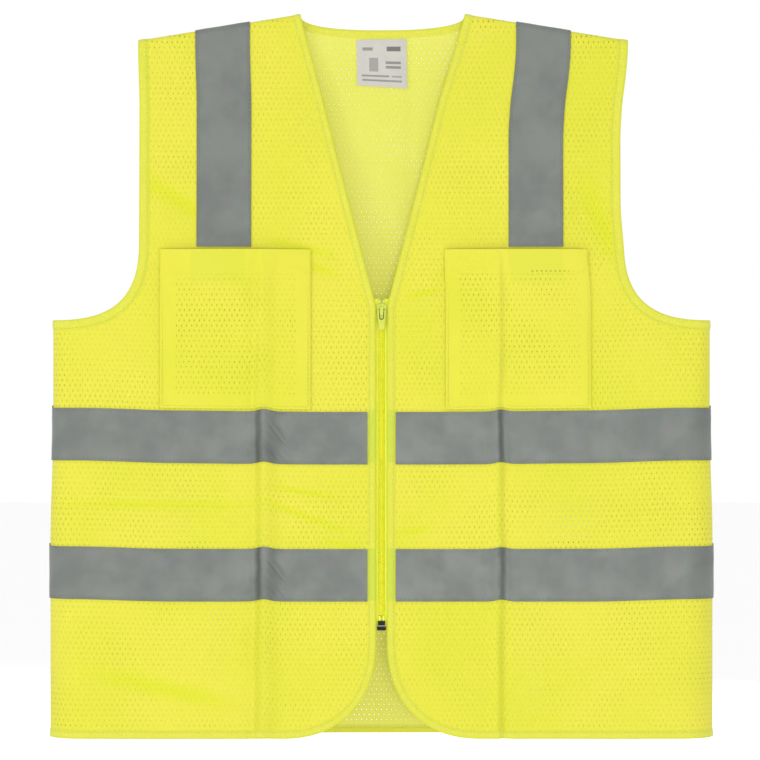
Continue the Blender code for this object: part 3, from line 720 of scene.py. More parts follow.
class Look:
    """A material and the short way of adding nodes to it."""

    def __init__(self, name, roughness, metallic=0.0):
        self.material = bpy.data.materials.new(name)
        self.material.use_nodes = True
        self.tree = self.material.node_tree
        self.shader = self.tree.nodes["Principled BSDF"]
        self.shader.inputs["Roughness"].default_value = roughness
        self.shader.inputs["Metallic"].default_value = metallic

    def feed(self, socket, value):
        """Links a node to a socket, or sets the socket itself to a number or a colour."""
        if isinstance(value, bpy.types.NodeSocket):
            self.tree.links.new(value, socket)
        else:
            socket.default_value = (*value, 1) if isinstance(value, tuple) else value

    def add(self, kind, inputs=None, **settings):
        node = self.tree.nodes.new(kind)
        for key, value in settings.items():
            setattr(node, key, value)
        for key, value in (inputs or {}).items():
            self.feed(node.inputs[key], value)
        return node

    def calc(self, operation, *values):
        return self.add("ShaderNodeMath", dict(enumerate(values)), operation=operation).outputs[0]

    def joined(self, operation, values):
        """One operation from the first value to the last."""
        total = values[0]
        for value in values[1:]:
            total = self.calc(operation, total, value)
        return total

    def times(self, *values):
        return self.joined("MULTIPLY", values)

    def strongest(self, *values):
        return self.joined("MAXIMUM", values)

    def size(self, value):
        """A value without its sign."""
        return self.calc("ABSOLUTE", value)

    def gap(self, value, place):
        """How far a value is from a place, to either side."""
        return self.size(self.calc("SUBTRACT", value, place))

    def parts(self, vector):
        return self.add("ShaderNodeSeparateXYZ", {0: vector}).outputs

    def on_object(self):
        return self.add("ShaderNodeTexCoord").outputs["Object"]

    def cloth_uv(self):
        uv = self.add("ShaderNodeUVMap", uv_map="cloth").outputs[0]
        return uv, *self.parts(uv)[:2]

    def noise(self, vector, scale, detail=2.0, roughness=0.5):
        inputs = {"Vector": vector, "Scale": scale, "Detail": detail, "Roughness": roughness}
        return self.add("ShaderNodeTexNoise", inputs).outputs[0]

    def wave(self, value, period):
        """From 0 to 1 and back over each period."""
        turn = self.times(value, 2 * math.pi / period)
        return self.calc("MULTIPLY_ADD", self.calc("SINE", turn), 0.5, 0.5)

    def ranged(self, value, source, target=(0.0, 1.0), kind="SMOOTHSTEP"):
        inputs = {0: value, 1: source[0], 2: source[1], 3: target[0], 4: target[1]}
        return self.add("ShaderNodeMapRange", inputs, interpolation_type=kind).outputs[0]

    def mix(self, share, first, second):
        return self.add("ShaderNodeMix", {0: share, 6: first, 7: second}, data_type="RGBA").outputs[2]

    def tint(self, shade, colour, value, source, target, kind="SMOOTHSTEP"):
        """Mixes a colour into a shade, as much as a value says."""
        return self.mix(self.ranged(value, source, target, kind), shade, colour)

    def bump(self, height, distance, strength):
        inputs = {"Height": height, "Distance": distance, "Strength": strength}
        return self.add("ShaderNodeBump", inputs).outputs[0]

    def done(self, colour, **others):
        """The material, once the shader has its colour and its other inputs."""
        self.feed(self.shader.inputs["Base Color"], colour)
        for name, value in others.items():
            self.feed(self.shader.inputs[SHADER_INPUTS[name]], value)
        return self.material


SHADER_INPUTS = {
    "normal": "Normal",
    "alpha": "Alpha",
    "roughness": "Roughness",
    "specular": "Specular IOR Level",
    "sheen": "Sheen Weight",
    "sheen_roughness": "Sheen Roughness",
    "glow": "Emission Strength",
    "glow_colour": "Emission Color",
}


def painted_fold_shade(look, u, width=1.0):
    """Painted shade along the fronts' pressed folds: how strong it is at each u."""
    marks = []
    for place, reach, strength in FOLD_SHADE_LINES:
        marks.append(look.ranged(look.gap(u, place), (0.0004, reach * width), (strength, 0.0)))
    return look.strongest(*marks)


def painted_dip_shade(look, u, v):
    """Painted shade in the dips of the fronts' soft rolls: how strong it is at each place."""
    marks = []
    for place, way, reach, width, height in FRONT_ROLLS:
        if height > 0:
            continue
        gap_u = look.calc("SUBTRACT", u, place[0])
        gap_v = look.calc("SUBTRACT", v, place[1])
        along = look.calc("MULTIPLY_ADD", gap_u, way[0], look.times(gap_v, way[1]))
        across = look.calc("MULTIPLY_ADD", gap_u, way[1], look.times(gap_v, -way[0]))
        near = look.ranged(look.size(along), (reach * 0.3, reach * 1.3), (1.0, 0.0))
        band = look.ranged(look.size(across), (0.0, width * 1.2), (0.70, 0.0))
        marks.append(look.times(near, band))
    return look.strongest(*marks)


def hole_ring(look, u, v):
    """Distance from the nearest hole of the knit, where 1 is the edge of a full-size hole."""
    rings = []
    for shift in (0.0, 0.5):
        spans = []
        for value, period, size in zip((u, v), HOLE_SPACING, HOLE_SIZE):
            share = look.calc("FRACT", look.calc("MULTIPLY_ADD", value, 1 / period, shift))
            span = look.times(look.gap(share, 0.5), period / size * 2)
            spans.append(look.calc("POWER", span, 1.35))
        rings.append(look.calc("ADD", *spans))
    return look.calc("MINIMUM", *rings)


def knit(name, colour, deep, openness, glow, pocket=False):
    """Warp knit with small upright diamond holes in staggered rows, wide open only in patches.

    The glow is painted light: an even emission that lifts the cloth's shade, partly standing for the light
    its fluorescent dye gives back.
    """
    look = Look(name, 0.85)
    uv, u, v = look.cloth_uv()
    drift = look.noise(uv, 16.0, 1.0)
    warped = look.calc("ADD", u, look.calc("MULTIPLY_ADD", drift, 0.0024, -0.0012))
    opening = look.ranged(look.noise(uv, 19.0, 2.0), (0.36, 0.66), openness)
    if pocket:
        opening = look.times(opening, pocket_opening(look, u, v))
    ring = look.calc("DIVIDE", hole_ring(look, warped, v), look.strongest(opening, 0.02))
    rim = look.ranged(ring, (1.0, 3.2))
    yarn = look.times(look.wave(warped, HOLE_SPACING[0] / 4), look.wave(v, 0.0011))
    height = look.calc("MULTIPLY_ADD", yarn, 0.30, rim)
    shade = look.tint(colour, deep, look.noise(uv, 7.0, 3.0), (0.35, 0.68), (0.0, 0.60))
    # Painted shade in the knit's low spots: beside its holes and between its yarns
    shade = look.tint(shade, deep, rim, (0.0, 0.9), (0.25, 0.0), "LINEAR")
    shade = look.tint(shade, deep, yarn, (0.0, 1.0), (0.10, 0.0), "LINEAR")
    if pocket:
        shade = pocket_marks(look, u, v, shade)
    else:
        # Painted shade along the pressed folds, below the chest; the back cloth shares this look
        below_chest = look.ranged(v, (-0.26, -0.19), (0.42, 0.0))
        shade = look.mix(look.times(painted_fold_shade(look, warped, 1.3), below_chest), shade, FOLD_SHADE_YELLOW)
        # Painted shade in the dips of the soft rolls, which also shows on the back cloth
        shade = look.mix(painted_dip_shade(look, warped, v), shade, DIP_SHADE_YELLOW)
    return look.done(
        shade,
        normal=look.bump(height, 0.00035, 0.5),
        alpha=look.ranged(ring, (0.75, 1.2)),
        sheen=0.15,
        sheen_roughness=0.5,
        specular=0.25,
        glow_colour=colour,
        glow=glow,
    )


def from_inner_edge(look, u):
    """Distance from a pocket's inner edge: its cloth's u starts at 1 or -1 there."""
    return look.calc("SUBTRACT", look.size(u), 1.0)


def pocket_marks(look, u, v, shade):
    """The tape that shows through a pocket's hem, and the open needle holes below one hem."""
    across = from_inner_edge(look, u)
    pocket_low = low("left_chest_pocket")
    tape_low, tape_high = low("left_shoulder_tape_front").x, high("left_shoulder_tape_front").x
    over_tape = look.gap(across, (tape_low + tape_high) / 2 - pocket_low.x)
    under = look.ranged(over_tape, (0.0240, 0.0262), (0.22, 0.0))
    shade = look.mix(look.times(under, look.ranged(v, (0.1130, 0.1165))), shade, UNDER_POCKET_HEM)
    holes = look.times(
        look.ranged(look.gap(v, -0.2226 - pocket_low.z), (0.0004, 0.0010), (1.0, 0.0)),
        look.ranged(look.wave(across, 0.0042), (0.55, 0.85)),
        look.ranged(u, (1.0770, 1.0790)),
        look.ranged(u, (1.1040, 1.1240), (0.75, 0.12)),
        look.ranged(u, (1.1290, 1.1300), (1.0, 0.0)),
    )
    return look.mix(holes, shade, NEEDLE_HOLE)


def pocket_opening(look, u, v):
    """Closes the knit's holes where the pocket's turned edges lie under it."""
    across = from_inner_edge(look, u)
    pocket_low, pocket_high = low("left_chest_pocket"), high("left_chest_pocket")
    width = pocket_high.x - pocket_low.x
    height = pocket_high.z - pocket_low.z
    sides = look.calc("MINIMUM", across, look.calc("SUBTRACT", width, across))
    ends = look.calc("MINIMUM", v, look.calc("SUBTRACT", height - POCKET_HEM + 0.014, v))
    return look.ranged(look.calc("MINIMUM", sides, ends), (0.0125, 0.0145))


def ribbed(name, colour, deep):
    """Folded knit binding with fine ribs across it: painted shade at its rounded folded edge and in its
    ribs, and deeper where it covers tape.
    """
    look = Look(name, 0.8)
    uv, u, v = look.cloth_uv()
    height = look.calc("MULTIPLY_ADD", look.wave(v, 0.0007), 0.35, look.wave(u, 0.0009))
    shade = look.tint(colour, deep, look.noise(uv, 60.0, 3.0), (0.3, 0.7), (0.0, 0.30))
    # Painted shade along the rounded folded edge
    shade = look.tint(shade, deep, v, (0.0008, 0.0026), (0.75, 0.0))
    shade = look.tint(shade, deep, v, (0.0058, 0.0068), (0.0, 0.45))
    # Painted shade in the ribs' valleys
    shade = look.tint(shade, deep, height, (0.0, 1.2), (0.15, 0.0), "LINEAR")
    z = look.parts(look.on_object())[2]
    for node in ("left_upper_waist_tape", "left_lower_waist_tape"):
        middle = (low(node).z + high(node).z - TAPE_TURN) / 2 - 0.0017
        shade = look.tint(shade, UNDER_BINDING, look.gap(z, middle), (0.0228, 0.0250), (0.55, 0.0))
    normal = look.bump(height, 0.00014, 0.6)
    # A faint glow: painted light
    return look.done(shade, normal=normal, sheen=0.2, specular=0.3, glow_colour=colour, glow=0.05)


def reflective(name):
    """Grey glass-bead tape: a fine even weave, cloudy patches, painted shade along its creases and
    crinkles, and darker edges.
    """
    look = Look(name, 0.5, 0.15)
    uv, u, v = look.cloth_uv()
    warp = look.wave(look.calc("ADD", u, v), 0.0008)
    weft = look.wave(look.calc("SUBTRACT", u, v), 0.0008)
    weave = look.times(warp, weft)
    clouds = look.noise(uv, 22.0, 3.0, 0.6)
    stains = look.noise(uv, 48.0, 2.0, 0.7)
    cool = look.noise(uv, 70.0, 2.0, 0.6)
    shade = look.tint(TAPE_GREY, TAPE_CLOUD, clouds, (0.35, 0.66), (0.0, 1.0))
    shade = look.tint(shade, TAPE_WARM, stains, (0.58, 0.75), (0.0, 0.6))
    shade = look.tint(shade, TAPE_COOL, cool, (0.60, 0.75), (0.0, 0.5))
    shade = look.mix(look.times(weave, 0.12), shade, TAPE_WEAVE)

    # Painted shade along the fronts' fold lines, patchy and wavering, where the tape's creases lie in
    # shade
    rough_edge = look.noise(uv, 420.0, 2.0, 0.6)
    wander = look.calc("MULTIPLY_ADD", look.noise(uv, 90.0, 2.0), 0.0030, -0.0015)
    fold_shade = painted_fold_shade(look, look.calc("ADD", u, wander))
    fold_shade = look.times(fold_shade, look.ranged(rough_edge, (0.3, 0.6), (0.74, 0.90)))
    shade = look.mix(fold_shade, shade, TAPE_FOLD_SHADE)

    # Painted shade of diagonal crinkles beside the right front's fold
    slant = look.times(look.calc("MULTIPLY_ADD", v, 0.9, u), 190)
    falls = look.times(look.calc("MULTIPLY_ADD", u, -0.9, v), 22)
    turned = look.add("ShaderNodeCombineXYZ", {0: slant, 1: falls}).outputs[0]
    crinkle_shade = look.ranged(look.noise(turned, 1.0, 2.0, 0.5), (0.46, 0.66), (0.0, 0.62))
    near_fold = look.ranged(look.gap(u, -0.0965), (0.003, 0.0125), (1.0, 0.0))
    shade = look.mix(look.times(crinkle_shade, near_fold), shade, TAPE_CRINKLE_SHADE)

    inset = look.calc("SUBTRACT", TAPE_HALF, look.gap(v, TAPE_HALF))
    shade = look.tint(shade, TAPE_EDGE, inset, (0.0003, 0.0013), (0.50, 0.0))
    ticks = look.ranged(look.wave(u, STITCH + STITCH_GAP), (0.25, 0.75))
    row = look.ranged(look.gap(inset, TAPE_STITCH_IN), (0.0003, 0.0010), (0.35, 0.0))
    shade = look.mix(look.times(ticks, row), shade, TAPE_STITCH)
    height = look.calc("MULTIPLY_ADD", look.noise(uv, 2600.0, 1.0), 0.5, weave)
    roughness = look.ranged(clouds, (0.3, 0.7), (0.44, 0.58))
    normal = look.bump(height, 0.00008, 0.5)
    return look.done(shade, normal=normal, roughness=roughness, specular=0.4, sheen=0.06)


def woven(name, colour, deep, pitch):
    """Plain narrow weave, for the zip's tapes."""
    look = Look(name, 0.75)
    uv, u, v = look.cloth_uv()
    warp = look.times(look.wave(u, pitch), 0.8)
    height = look.strongest(warp, look.wave(v, pitch * 1.3))
    shade = look.tint(colour, deep, look.noise(uv, 80.0, 2.0), (0.3, 0.7), (0.0, 0.3))
    # Painted shade in the weave's low spots
    shade = look.tint(shade, deep, height, (0.2, 1.0), (0.3, 0.0), "LINEAR")
    return look.done(shade, normal=look.bump(height, 0.00012, 0.7), sheen=0.15)


def moulded(name, colour, deep, roughness, specular=0.3, extra=None):
    """Paint, nylon or moulded plastic: a faint grain and slightly worn high spots."""
    look = Look(name, roughness)
    place = look.on_object()
    grain = look.noise(place, 900.0, 3.0)
    shade = look.tint(colour, deep, look.noise(place, 150.0, 3.0), (0.45, 0.7), (0.0, 0.7))
    if extra is not None:
        shade = extra(look, place, shade)
    rough = look.ranged(grain, (0.3, 0.7), (roughness - 0.06, roughness + 0.08))
    normal = look.bump(grain, 0.00005, 0.35)
    return look.done(shade, normal=normal, roughness=rough, specular=specular)


def painted_window_shadow(look, place, shade):
    """Painted shadow: dark on the slider's plate in a U round the rim of the pull's window, where the gap
    lies in shade.
    """
    x, y, z = look.parts(place)
    body = look.calc("MULTIPLY_ADD", z, -LEAN, TAPE_DEPTH + LEAN * lower_tape.z)
    out = look.times(look.calc("ADD", y, body), -1 / LEAN_LENGTH)
    aside = look.size(x)
    bottom, top = low("zip_slider").z, high("zip_slider").z
    window_foot = high("zip_pull").z - WINDOW_REACH
    edge = look.ranged(aside, (0.0011, 0.0015))
    end = look.ranged(z, (window_foot + 0.0011, window_foot + 0.0017), (1.0, 0.0))
    shadow_mask = look.times(
        look.ranged(out, (0.00175, 0.0021), (1.0, 0.0)),
        look.ranged(aside, (0.0024, 0.0030), (1.0, 0.0)),
        look.ranged(z, (top - 0.0036, top - 0.0052)),
        look.ranged(z, (bottom + 0.0004, bottom - 0.0006), (1.0, 0.0)),
        look.strongest(edge, end),
        0.92,
    )
    return look.mix(shadow_mask, shade, WINDOW_SHADOW)


def painted_step_highlight(look, place, shade):
    """A painted highlight: a light line that crosses the zip's box at its step."""
    box_low, box_high = low("retainer_box").z, high("retainer_box").z
    step = box_low + 0.48 * (box_high - box_low)
    gap = look.gap(look.parts(place)[2], step)
    return look.tint(shade, STEP_HIGHLIGHT, gap, (0.0002, 0.0005), (0.8, 0.0))


def thread_look(name, colour, deep):
    """Twisted sewing thread."""
    look = Look(name, 0.55)
    _, u, v = look.cloth_uv()
    twist = look.wave(look.calc("MULTIPLY_ADD", v, 1.7, u), 0.0004)
    return look.done(look.mix(twist, colour, deep), normal=look.bump(twist, 0.00005, 0.8), sheen=0.2)


def satin(name):
    """White woven satin with plain grey shapes where a real label has print."""
    look = Look(name, 0.5)
    uv, u, v = look.cloth_uv()
    height = look.calc("MULTIPLY_ADD", look.wave(u, 0.00035), 0.4, look.wave(v, 0.0005))
    shade = look.tint(LABEL_WHITE, LABEL_SHADE, look.noise(uv, 70.0, 2.0), (0.3, 0.7), (0.0, 0.5))
    top = high("care_label").z
    for centre, below, half_width, half_height, strength in LABEL_SHAPES:
        inside_x = look.ranged(look.gap(u, centre), (half_width, half_width + 0.0004), (strength, 0.0))
        inside_z = look.ranged(look.gap(v, top - below), (half_height, half_height + 0.0003), (1.0, 0.0))
        shade = look.mix(look.times(inside_x, inside_z), shade, LABEL_PRINT)
    return look.done(shade, normal=look.bump(height, 0.00005, 0.5), specular=0.5)


PAINT = (0.500, 0.560, 0.062), (0.420, 0.500, 0.034)
BLACK = (0.010, 0.010, 0.008), (0.020, 0.020, 0.017)
# The back cloth's inner side glows strongly: painted light that brightens it where the fronts shade it
INSIDE_GLOWING = (0.415, 0.415, 0.070), (0.365, 0.378, 0.040)
# The last number of each knit is its glow, painted light
LOOKS = {
    "mesh": knit("mesh_cloth_look", YELLOW, DEEP_YELLOW, (0.45, 0.90), 0.06),
    "inside": knit("mesh_inside_glow_look", *INSIDE_GLOWING, (0.36, 0.76), 0.68),
    "pocket": knit("pocket_cloth_look", YELLOW, DEEP_YELLOW, (0.40, 0.85), 0.06, pocket=True),
    "binding": ribbed("binding_look", (0.570, 0.560, 0.060), (0.490, 0.525, 0.018)),
    "tape": reflective("reflective_tape_look"),
    "zip_tape": woven("zip_tape_look", (0.690, 0.715, 0.030), (0.540, 0.600, 0.014), 0.0008),
    "coil": moulded("zip_coil_look", (0.840, 0.840, 0.024), (0.700, 0.745, 0.015), 0.5, 0.2),
    "paint": moulded("painted_metal_look", *PAINT, 0.42, extra=painted_window_shadow),
    "black": moulded("black_plastic_look", *BLACK, 0.5, 0.12, painted_step_highlight),
    "label": satin("label_cloth_look"),
    "yellow_thread": thread_look("yellow_thread_look", (0.560, 0.560, 0.060), (0.40, 0.44, 0.025)),
    "grey_thread": thread_look("grey_thread_look", (0.170, 0.190, 0.120), (0.10, 0.12, 0.06)),
}


# ---------------------------------------------------------------- pieces


def across_fold(obj):
    """Bakes a piece's transform into its mesh."""
    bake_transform(obj)


def area_of(outline):
    x, y = outline[:, 0], outline[:, 1]
    return abs(np.dot(x, np.roll(y, -1)) - np.dot(y, np.roll(x, -1))) / 2


def size_of(points):
    return tuple(float(v) for v in np.ptp(np.asarray(points).reshape(-1, 2), axis=0))


def inner_edge(line, width):
    """The edge of the cloth inside a binding, from end to end."""
    rows = strip_rows(line, (width - TUCK,))
    return rows[:, 0]


def outer_edges(hem_v, inner_line):
    """The side seam, the armhole and the shoulder, from the hem round to the neck."""
    armhole = inner_edge(armhole_line(), ARMHOLE_EDGE)
    seam_v = np.linspace(hem_v, armhole[0, 1], 90)[:-1]
    seam = np.stack((side_u(seam_v), seam_v), axis=-1)
    shoulder_u = np.linspace(armhole[-1, 0], inner_line[0, 0], 40)[1:-1]
    shoulder = np.stack((shoulder_u, roof(shoulder_u)), axis=-1)
    return np.vstack((seam, armhole, shoulder))


def front_cloth(word, side):
    """A front's cloth, from the zip's edge to the side seam."""
    line = inner_edge(front_line(), EDGE)
    outline = np.vstack((line, outer_edges(line[-1, 1], line)[1:]))
    points, faces = mirrored(*filled(outline), side)
    obj = solid_sheet(f"{word}_front_cloth", points, faces, CLOTH, FRONT, LOOKS["mesh"])
    across_fold(obj)
    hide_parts(f"{word}_front_panel", f"{word}_front_edge_panel")
    return obj, size_of(outline), area_of(outline)


def back_cloth():
    """The back's cloth, whose inner side is seen through the V."""
    neck = inner_edge(neck_line(), EDGE)
    half = outer_edges(HEM_Z + EDGE - TUCK, neck)
    outline = np.vstack((half, neck, half[::-1] * (-1, 1)))
    points, faces = filled(outline)
    obj = solid_sheet("back_cloth", points, faces, CLOTH, BACK, LOOKS["mesh"])
    obj.data.materials.append(LOOKS["inside"])
    for face in obj.data.polygons[len(faces) : 2 * len(faces)]:
        face.material_index = 1
    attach(obj, "vest")
    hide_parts("back_panel")
    return obj, size_of(outline), area_of(outline)


def tape_rows(bottom, top, rows=12):
    """Rows across a tape, close together at its sewn edges."""
    share = np.linspace(0, 1, rows + 1)
    share = share - 0.30 * np.sin(2 * math.pi * share) / (2 * math.pi)
    return bottom + (top - bottom) * share


def swell(near):
    """How far a tape stands out inside its row of stitches, by the distance from its edge."""
    return 0.00015 * bell(near - 0.010, 0.006)


def tape_puff(bottom, top):
    """A waist tape's pucker: long low waves along its sewn edges."""

    def puff(u, v):
        near = np.minimum(v - bottom, top - v)
        return 0.00010 * bell(near, 0.0022) * np.sin(u * 2 * math.pi / 0.0290) + swell(near)

    return puff


def waist_tape(name, word, side, node, end_node, thread):
    """A tape across one front, from the zip's edge to the side seam."""
    bottom, top = low(node).z, high(node).z - TAPE_TURN
    start = abs(low(end_node).x) if side > 0 else abs(high(end_node).x)
    us = columns(start, side_u(bottom) - LAST_COLUMN)
    points, faces = grid(np.append(us, side_u(bottom)), tape_rows(bottom, top), [-1])
    flat = size_of(points)
    points, faces = mirrored(points, faces, side)
    local = points - (0, bottom)
    puff = tape_puff(bottom, top)
    obj = solid_sheet(name, points, faces, TAPE, FRONT, LOOKS["tape"], puff, local)
    across_fold(obj)
    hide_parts(node, end_node)
    sew_tape(thread, us, bottom, top, FRONT, side)
    return obj, flat


def back_tape(name, node, thread):
    """A tape across the back, from seam to seam."""
    bottom, top = low(node).z, high(node).z
    reach = side_u(bottom)
    us = columns(LAST_COLUMN - reach, reach - LAST_COLUMN)
    points, faces = grid(np.concatenate(([-reach], us, [reach])), tape_rows(bottom, top), [0, -1])
    local = points + (BACK_SHIFT, -bottom)
    puff = tape_puff(bottom, top)
    obj = solid_sheet(name, points, faces, TAPE, BACK, LOOKS["tape"], puff, local)
    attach(obj, "vest")
    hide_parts(node)
    sew_tape(thread, us, bottom, top, BACK)
    return obj, size_of(points)


def shoulder_tape(name, node, depth, thread):
    """One side of a tape over a shoulder, with its rows close together over the ridge."""
    box_low, box_high = low(node), high(node)
    us = tape_rows(box_low.x, box_high.x)
    bottom = box_low.z
    below = np.append(np.linspace(-bottom, 1.5 * RIDGE, 60), np.linspace(1.4 * RIDGE, 0, 14))
    share = 1 - below / below[0]
    points, faces = grid(us, share)
    points[:, 1] = bottom + (roof(points[:, 0]) - bottom) * points[:, 1]
    local = np.stack((points[:, 1] + SHOULDER_SHIFT, points[:, 0] - box_low.x), axis=-1)

    def puff(u, v):
        return swell(np.minimum(u - box_low.x, box_high.x - u))

    obj = solid_sheet(name, points, faces, TAPE, depth, LOOKS["tape"], puff, local)
    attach(obj, "vest")
    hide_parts(node)
    foot = bottom + TAPE_STITCH_IN
    left, right = box_low.x + TAPE_STITCH_IN, box_high.x - TAPE_STITCH_IN
    for x in (left, right):
        head = float(roof(x)) - 1.5 * RIDGE
        thread.sew(np.linspace((x, foot), (x, head), 40), TAPE[1], depth)
    if depth == FRONT:
        thread.sew(np.linspace((left, foot), (right, foot), 20), TAPE[1], depth)
    return obj, size_of(points)


def pocket(word, side, thread):
    """A patch pocket, sewn at its sides and bottom, that stands a little open at the top."""
    node = f"{word}_chest_pocket"
    box_low, box_high = low(node), high(node)
    inner_x, outer_x = sorted((abs(box_low.x), abs(box_high.x)))
    inner_x += POCKET_MOVES[word][0]
    outer_x += POCKET_MOVES[word][1]
    bottom, top = box_low.z, box_high.z
    fold = top - POCKET_HEM
    seam = fold + 0.0016
    rim, step, sharp = 0.0015, 0.0042, 0.0006
    us = np.concatenate(([inner_x], columns(inner_x + rim, outer_x - rim, 0.004), [outer_x]))
    below_fold = np.arange(bottom + 0.005, fold - 0.002, step)
    above_fold = np.arange(fold + 0.007, top - 0.002, step)
    near_fold = (fold - sharp, fold, fold + 0.003)
    vs = np.concatenate(((bottom, bottom + rim), below_fold, near_fold, above_fold, (top - sharp, top)))

    def puff(u, v):
        across = np.clip((np.abs(u) - inner_x) / (outer_x - inner_x), 0, 1)
        up = np.clip((v - bottom) / (top - bottom), 0, 1)
        belly = np.sin(across * math.pi) ** 0.55 * (1 - (1 - up) ** 3.2) * (0.55 + 0.45 * up)
        hem = 0.00035 * smooth(v, fold - sharp, fold)
        dimple = -0.0003 * bell(v - seam, 0.0007)
        return 0.0004 + 0.0048 * belly + hem + dimple

    points, faces = mirrored(*grid(us, vs), side)
    layers = (TAPE[0], TAPE[0] + CLOTH[1])
    local = np.stack((points[:, 0] - side * inner_x + side, points[:, 1] - bottom), axis=-1)
    obj = solid_sheet(f"{word}_pocket_cloth", points, faces, layers, FRONT, LOOKS["pocket"], puff, local)
    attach(obj, "vest")
    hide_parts(node)
    inner, outer = inner_x + POCKET_STITCH_IN, outer_x - POCKET_STITCH_IN
    foot, head = bottom + POCKET_STITCH_IN, top - 0.001
    path = ((inner, head), (inner, foot), (outer, foot), (outer, head))
    for ends in zip(path, path[1:]):
        line = resampled(ends, POCKET_STEP)
        out = layers[1] + puff(line[:, 0], line[:, 1])
        thread.sew(line, float(out.mean()), FRONT, side)
    line = resampled(((inner_x + 0.004, seam), (outer_x - 0.004, seam)), POCKET_STEP)
    sew_on(thread, line, layers[1], puff, side)
    return obj, size_of(points)


def label():
    """The label hangs from its top edge, a little turned, and one side of it reaches lower."""
    box_low, box_high = low("care_label"), high("care_label")
    width, height = box_high.x - box_low.x, box_high.z - box_low.z
    points, faces = grid(np.linspace(box_low.x, box_high.x, 24), np.linspace(box_low.z, box_high.z, 22))
    turn = math.radians(0.9)
    pin = np.array((0.0, box_high.z))
    rotation = np.array(((math.cos(turn), math.sin(turn)), (-math.sin(turn), math.cos(turn))))
    turned = (points - pin) @ rotation
    share = (points[:, 0] - box_low.x) / width
    turned[:, 1] -= 0.0034 * share * (box_high.z - points[:, 1]) / height

    def puff(u, v):
        down = np.clip((box_high.z - v) / height, 0, 1)
        return -0.0006 * down**1.5 * (1 + 0.5 * np.sin(u * 140))

    layers = (-0.0007, -0.0003)
    obj = solid_sheet("neck_label", turned + pin, faces, layers, BACK, LOOKS["label"], puff, points)
    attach(obj, "vest")
    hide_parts("care_label")
    return obj, size_of(points)


def seam_fold(name, node):
    """The seam allowances inside a shoulder or side, oversewn along their raw edge."""
    box_low, box_high = low(node), high(node)
    side = 1 if box_high.x > 0 else -1
    upright = box_high.z - box_low.z > box_high.x - box_low.x
    steps = np.linspace(0, 1, 160 if upright else 60)
    share, across = np.meshgrid(steps, np.linspace(0, 1, 6), indexing="ij")
    if upright:
        z = box_low.z + share * (box_high.z - box_low.z)
        inner, outer = (box_low.x, box_high.x) if side > 0 else (box_high.x, box_low.x)
        x = outer + (inner - outer) * across * (1 + 0.04 * np.sin(z * 190))
    else:
        x = box_low.x + share * (box_high.x - box_low.x)
        neck_end = box_low.x if side > 0 else box_high.x
        z = box_high.z - ROOF_SLOPE * np.abs(x - neck_end) - 0.008 * across
    places = np.stack((x, 0.0006 * np.sin(share * 60) * across**2, z), axis=-1).reshape(-1, 3)
    uvs = places[:, [2, 0]] if upright else places[:, [0, 2]]
    faces = both_sides(grid_faces(*share.shape), len(places))
    half_thick = np.array((0, 0.0004, 0))
    both = np.concatenate((places - half_thick, places + half_thick))
    obj = make_object(name, both, faces, np.concatenate((uvs, uvs)), LOOKS["binding"])
    make_outward(obj)
    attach(obj, "vest")
    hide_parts(node)
    return obj


def leaning(x, z, out):
    """Places on the zip, which lies flat in the front's leaning plane."""
    depth = half_depth(z)
    return np.stack(np.broadcast_arrays(x, -depth - out * LEAN_LENGTH, z), axis=-1)


def zip_tape(word, side):
    """A woven tape of the zip, a little thicker beside the coil."""
    node = f"{word}_zip_tape"
    box_low, box_high = low(node), high(node)
    inner_x, outer_x = sorted((abs(box_low.x), abs(box_high.x)))
    across = np.array((0.0, 0.05, 0.10, 0.2, 0.5, 0.8, 0.95, 1.0))
    half_thick, middle, under_coil = 0.0003, -0.0011, 0.0004
    outs = np.array((0.6, 1.1, 1.1, 0.95, 1.0, 0.95, 1.0, 0.7)) * half_thick
    zs = np.linspace(box_low.z, box_high.z, 150)
    x = side * (inner_x - under_coil + (outer_x - inner_x) * across)
    front = leaning(x[None], zs[:, None], middle + outs[None])
    rear = leaning(x[None], zs[:, None], middle - outs[None])
    places = np.concatenate((rear.reshape(-1, 3), front.reshape(-1, 3)))
    faces = both_sides(grid_faces(len(zs), len(across)), len(places) // 2)
    obj = make_object(f"{word}_woven_zip_tape", places, faces, places[:, [0, 2]], LOOKS["zip_tape"])
    make_outward(obj)
    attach(obj, f"{word}_front")
    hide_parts(node)
    return obj, size_of(places[:, [0, 2]])


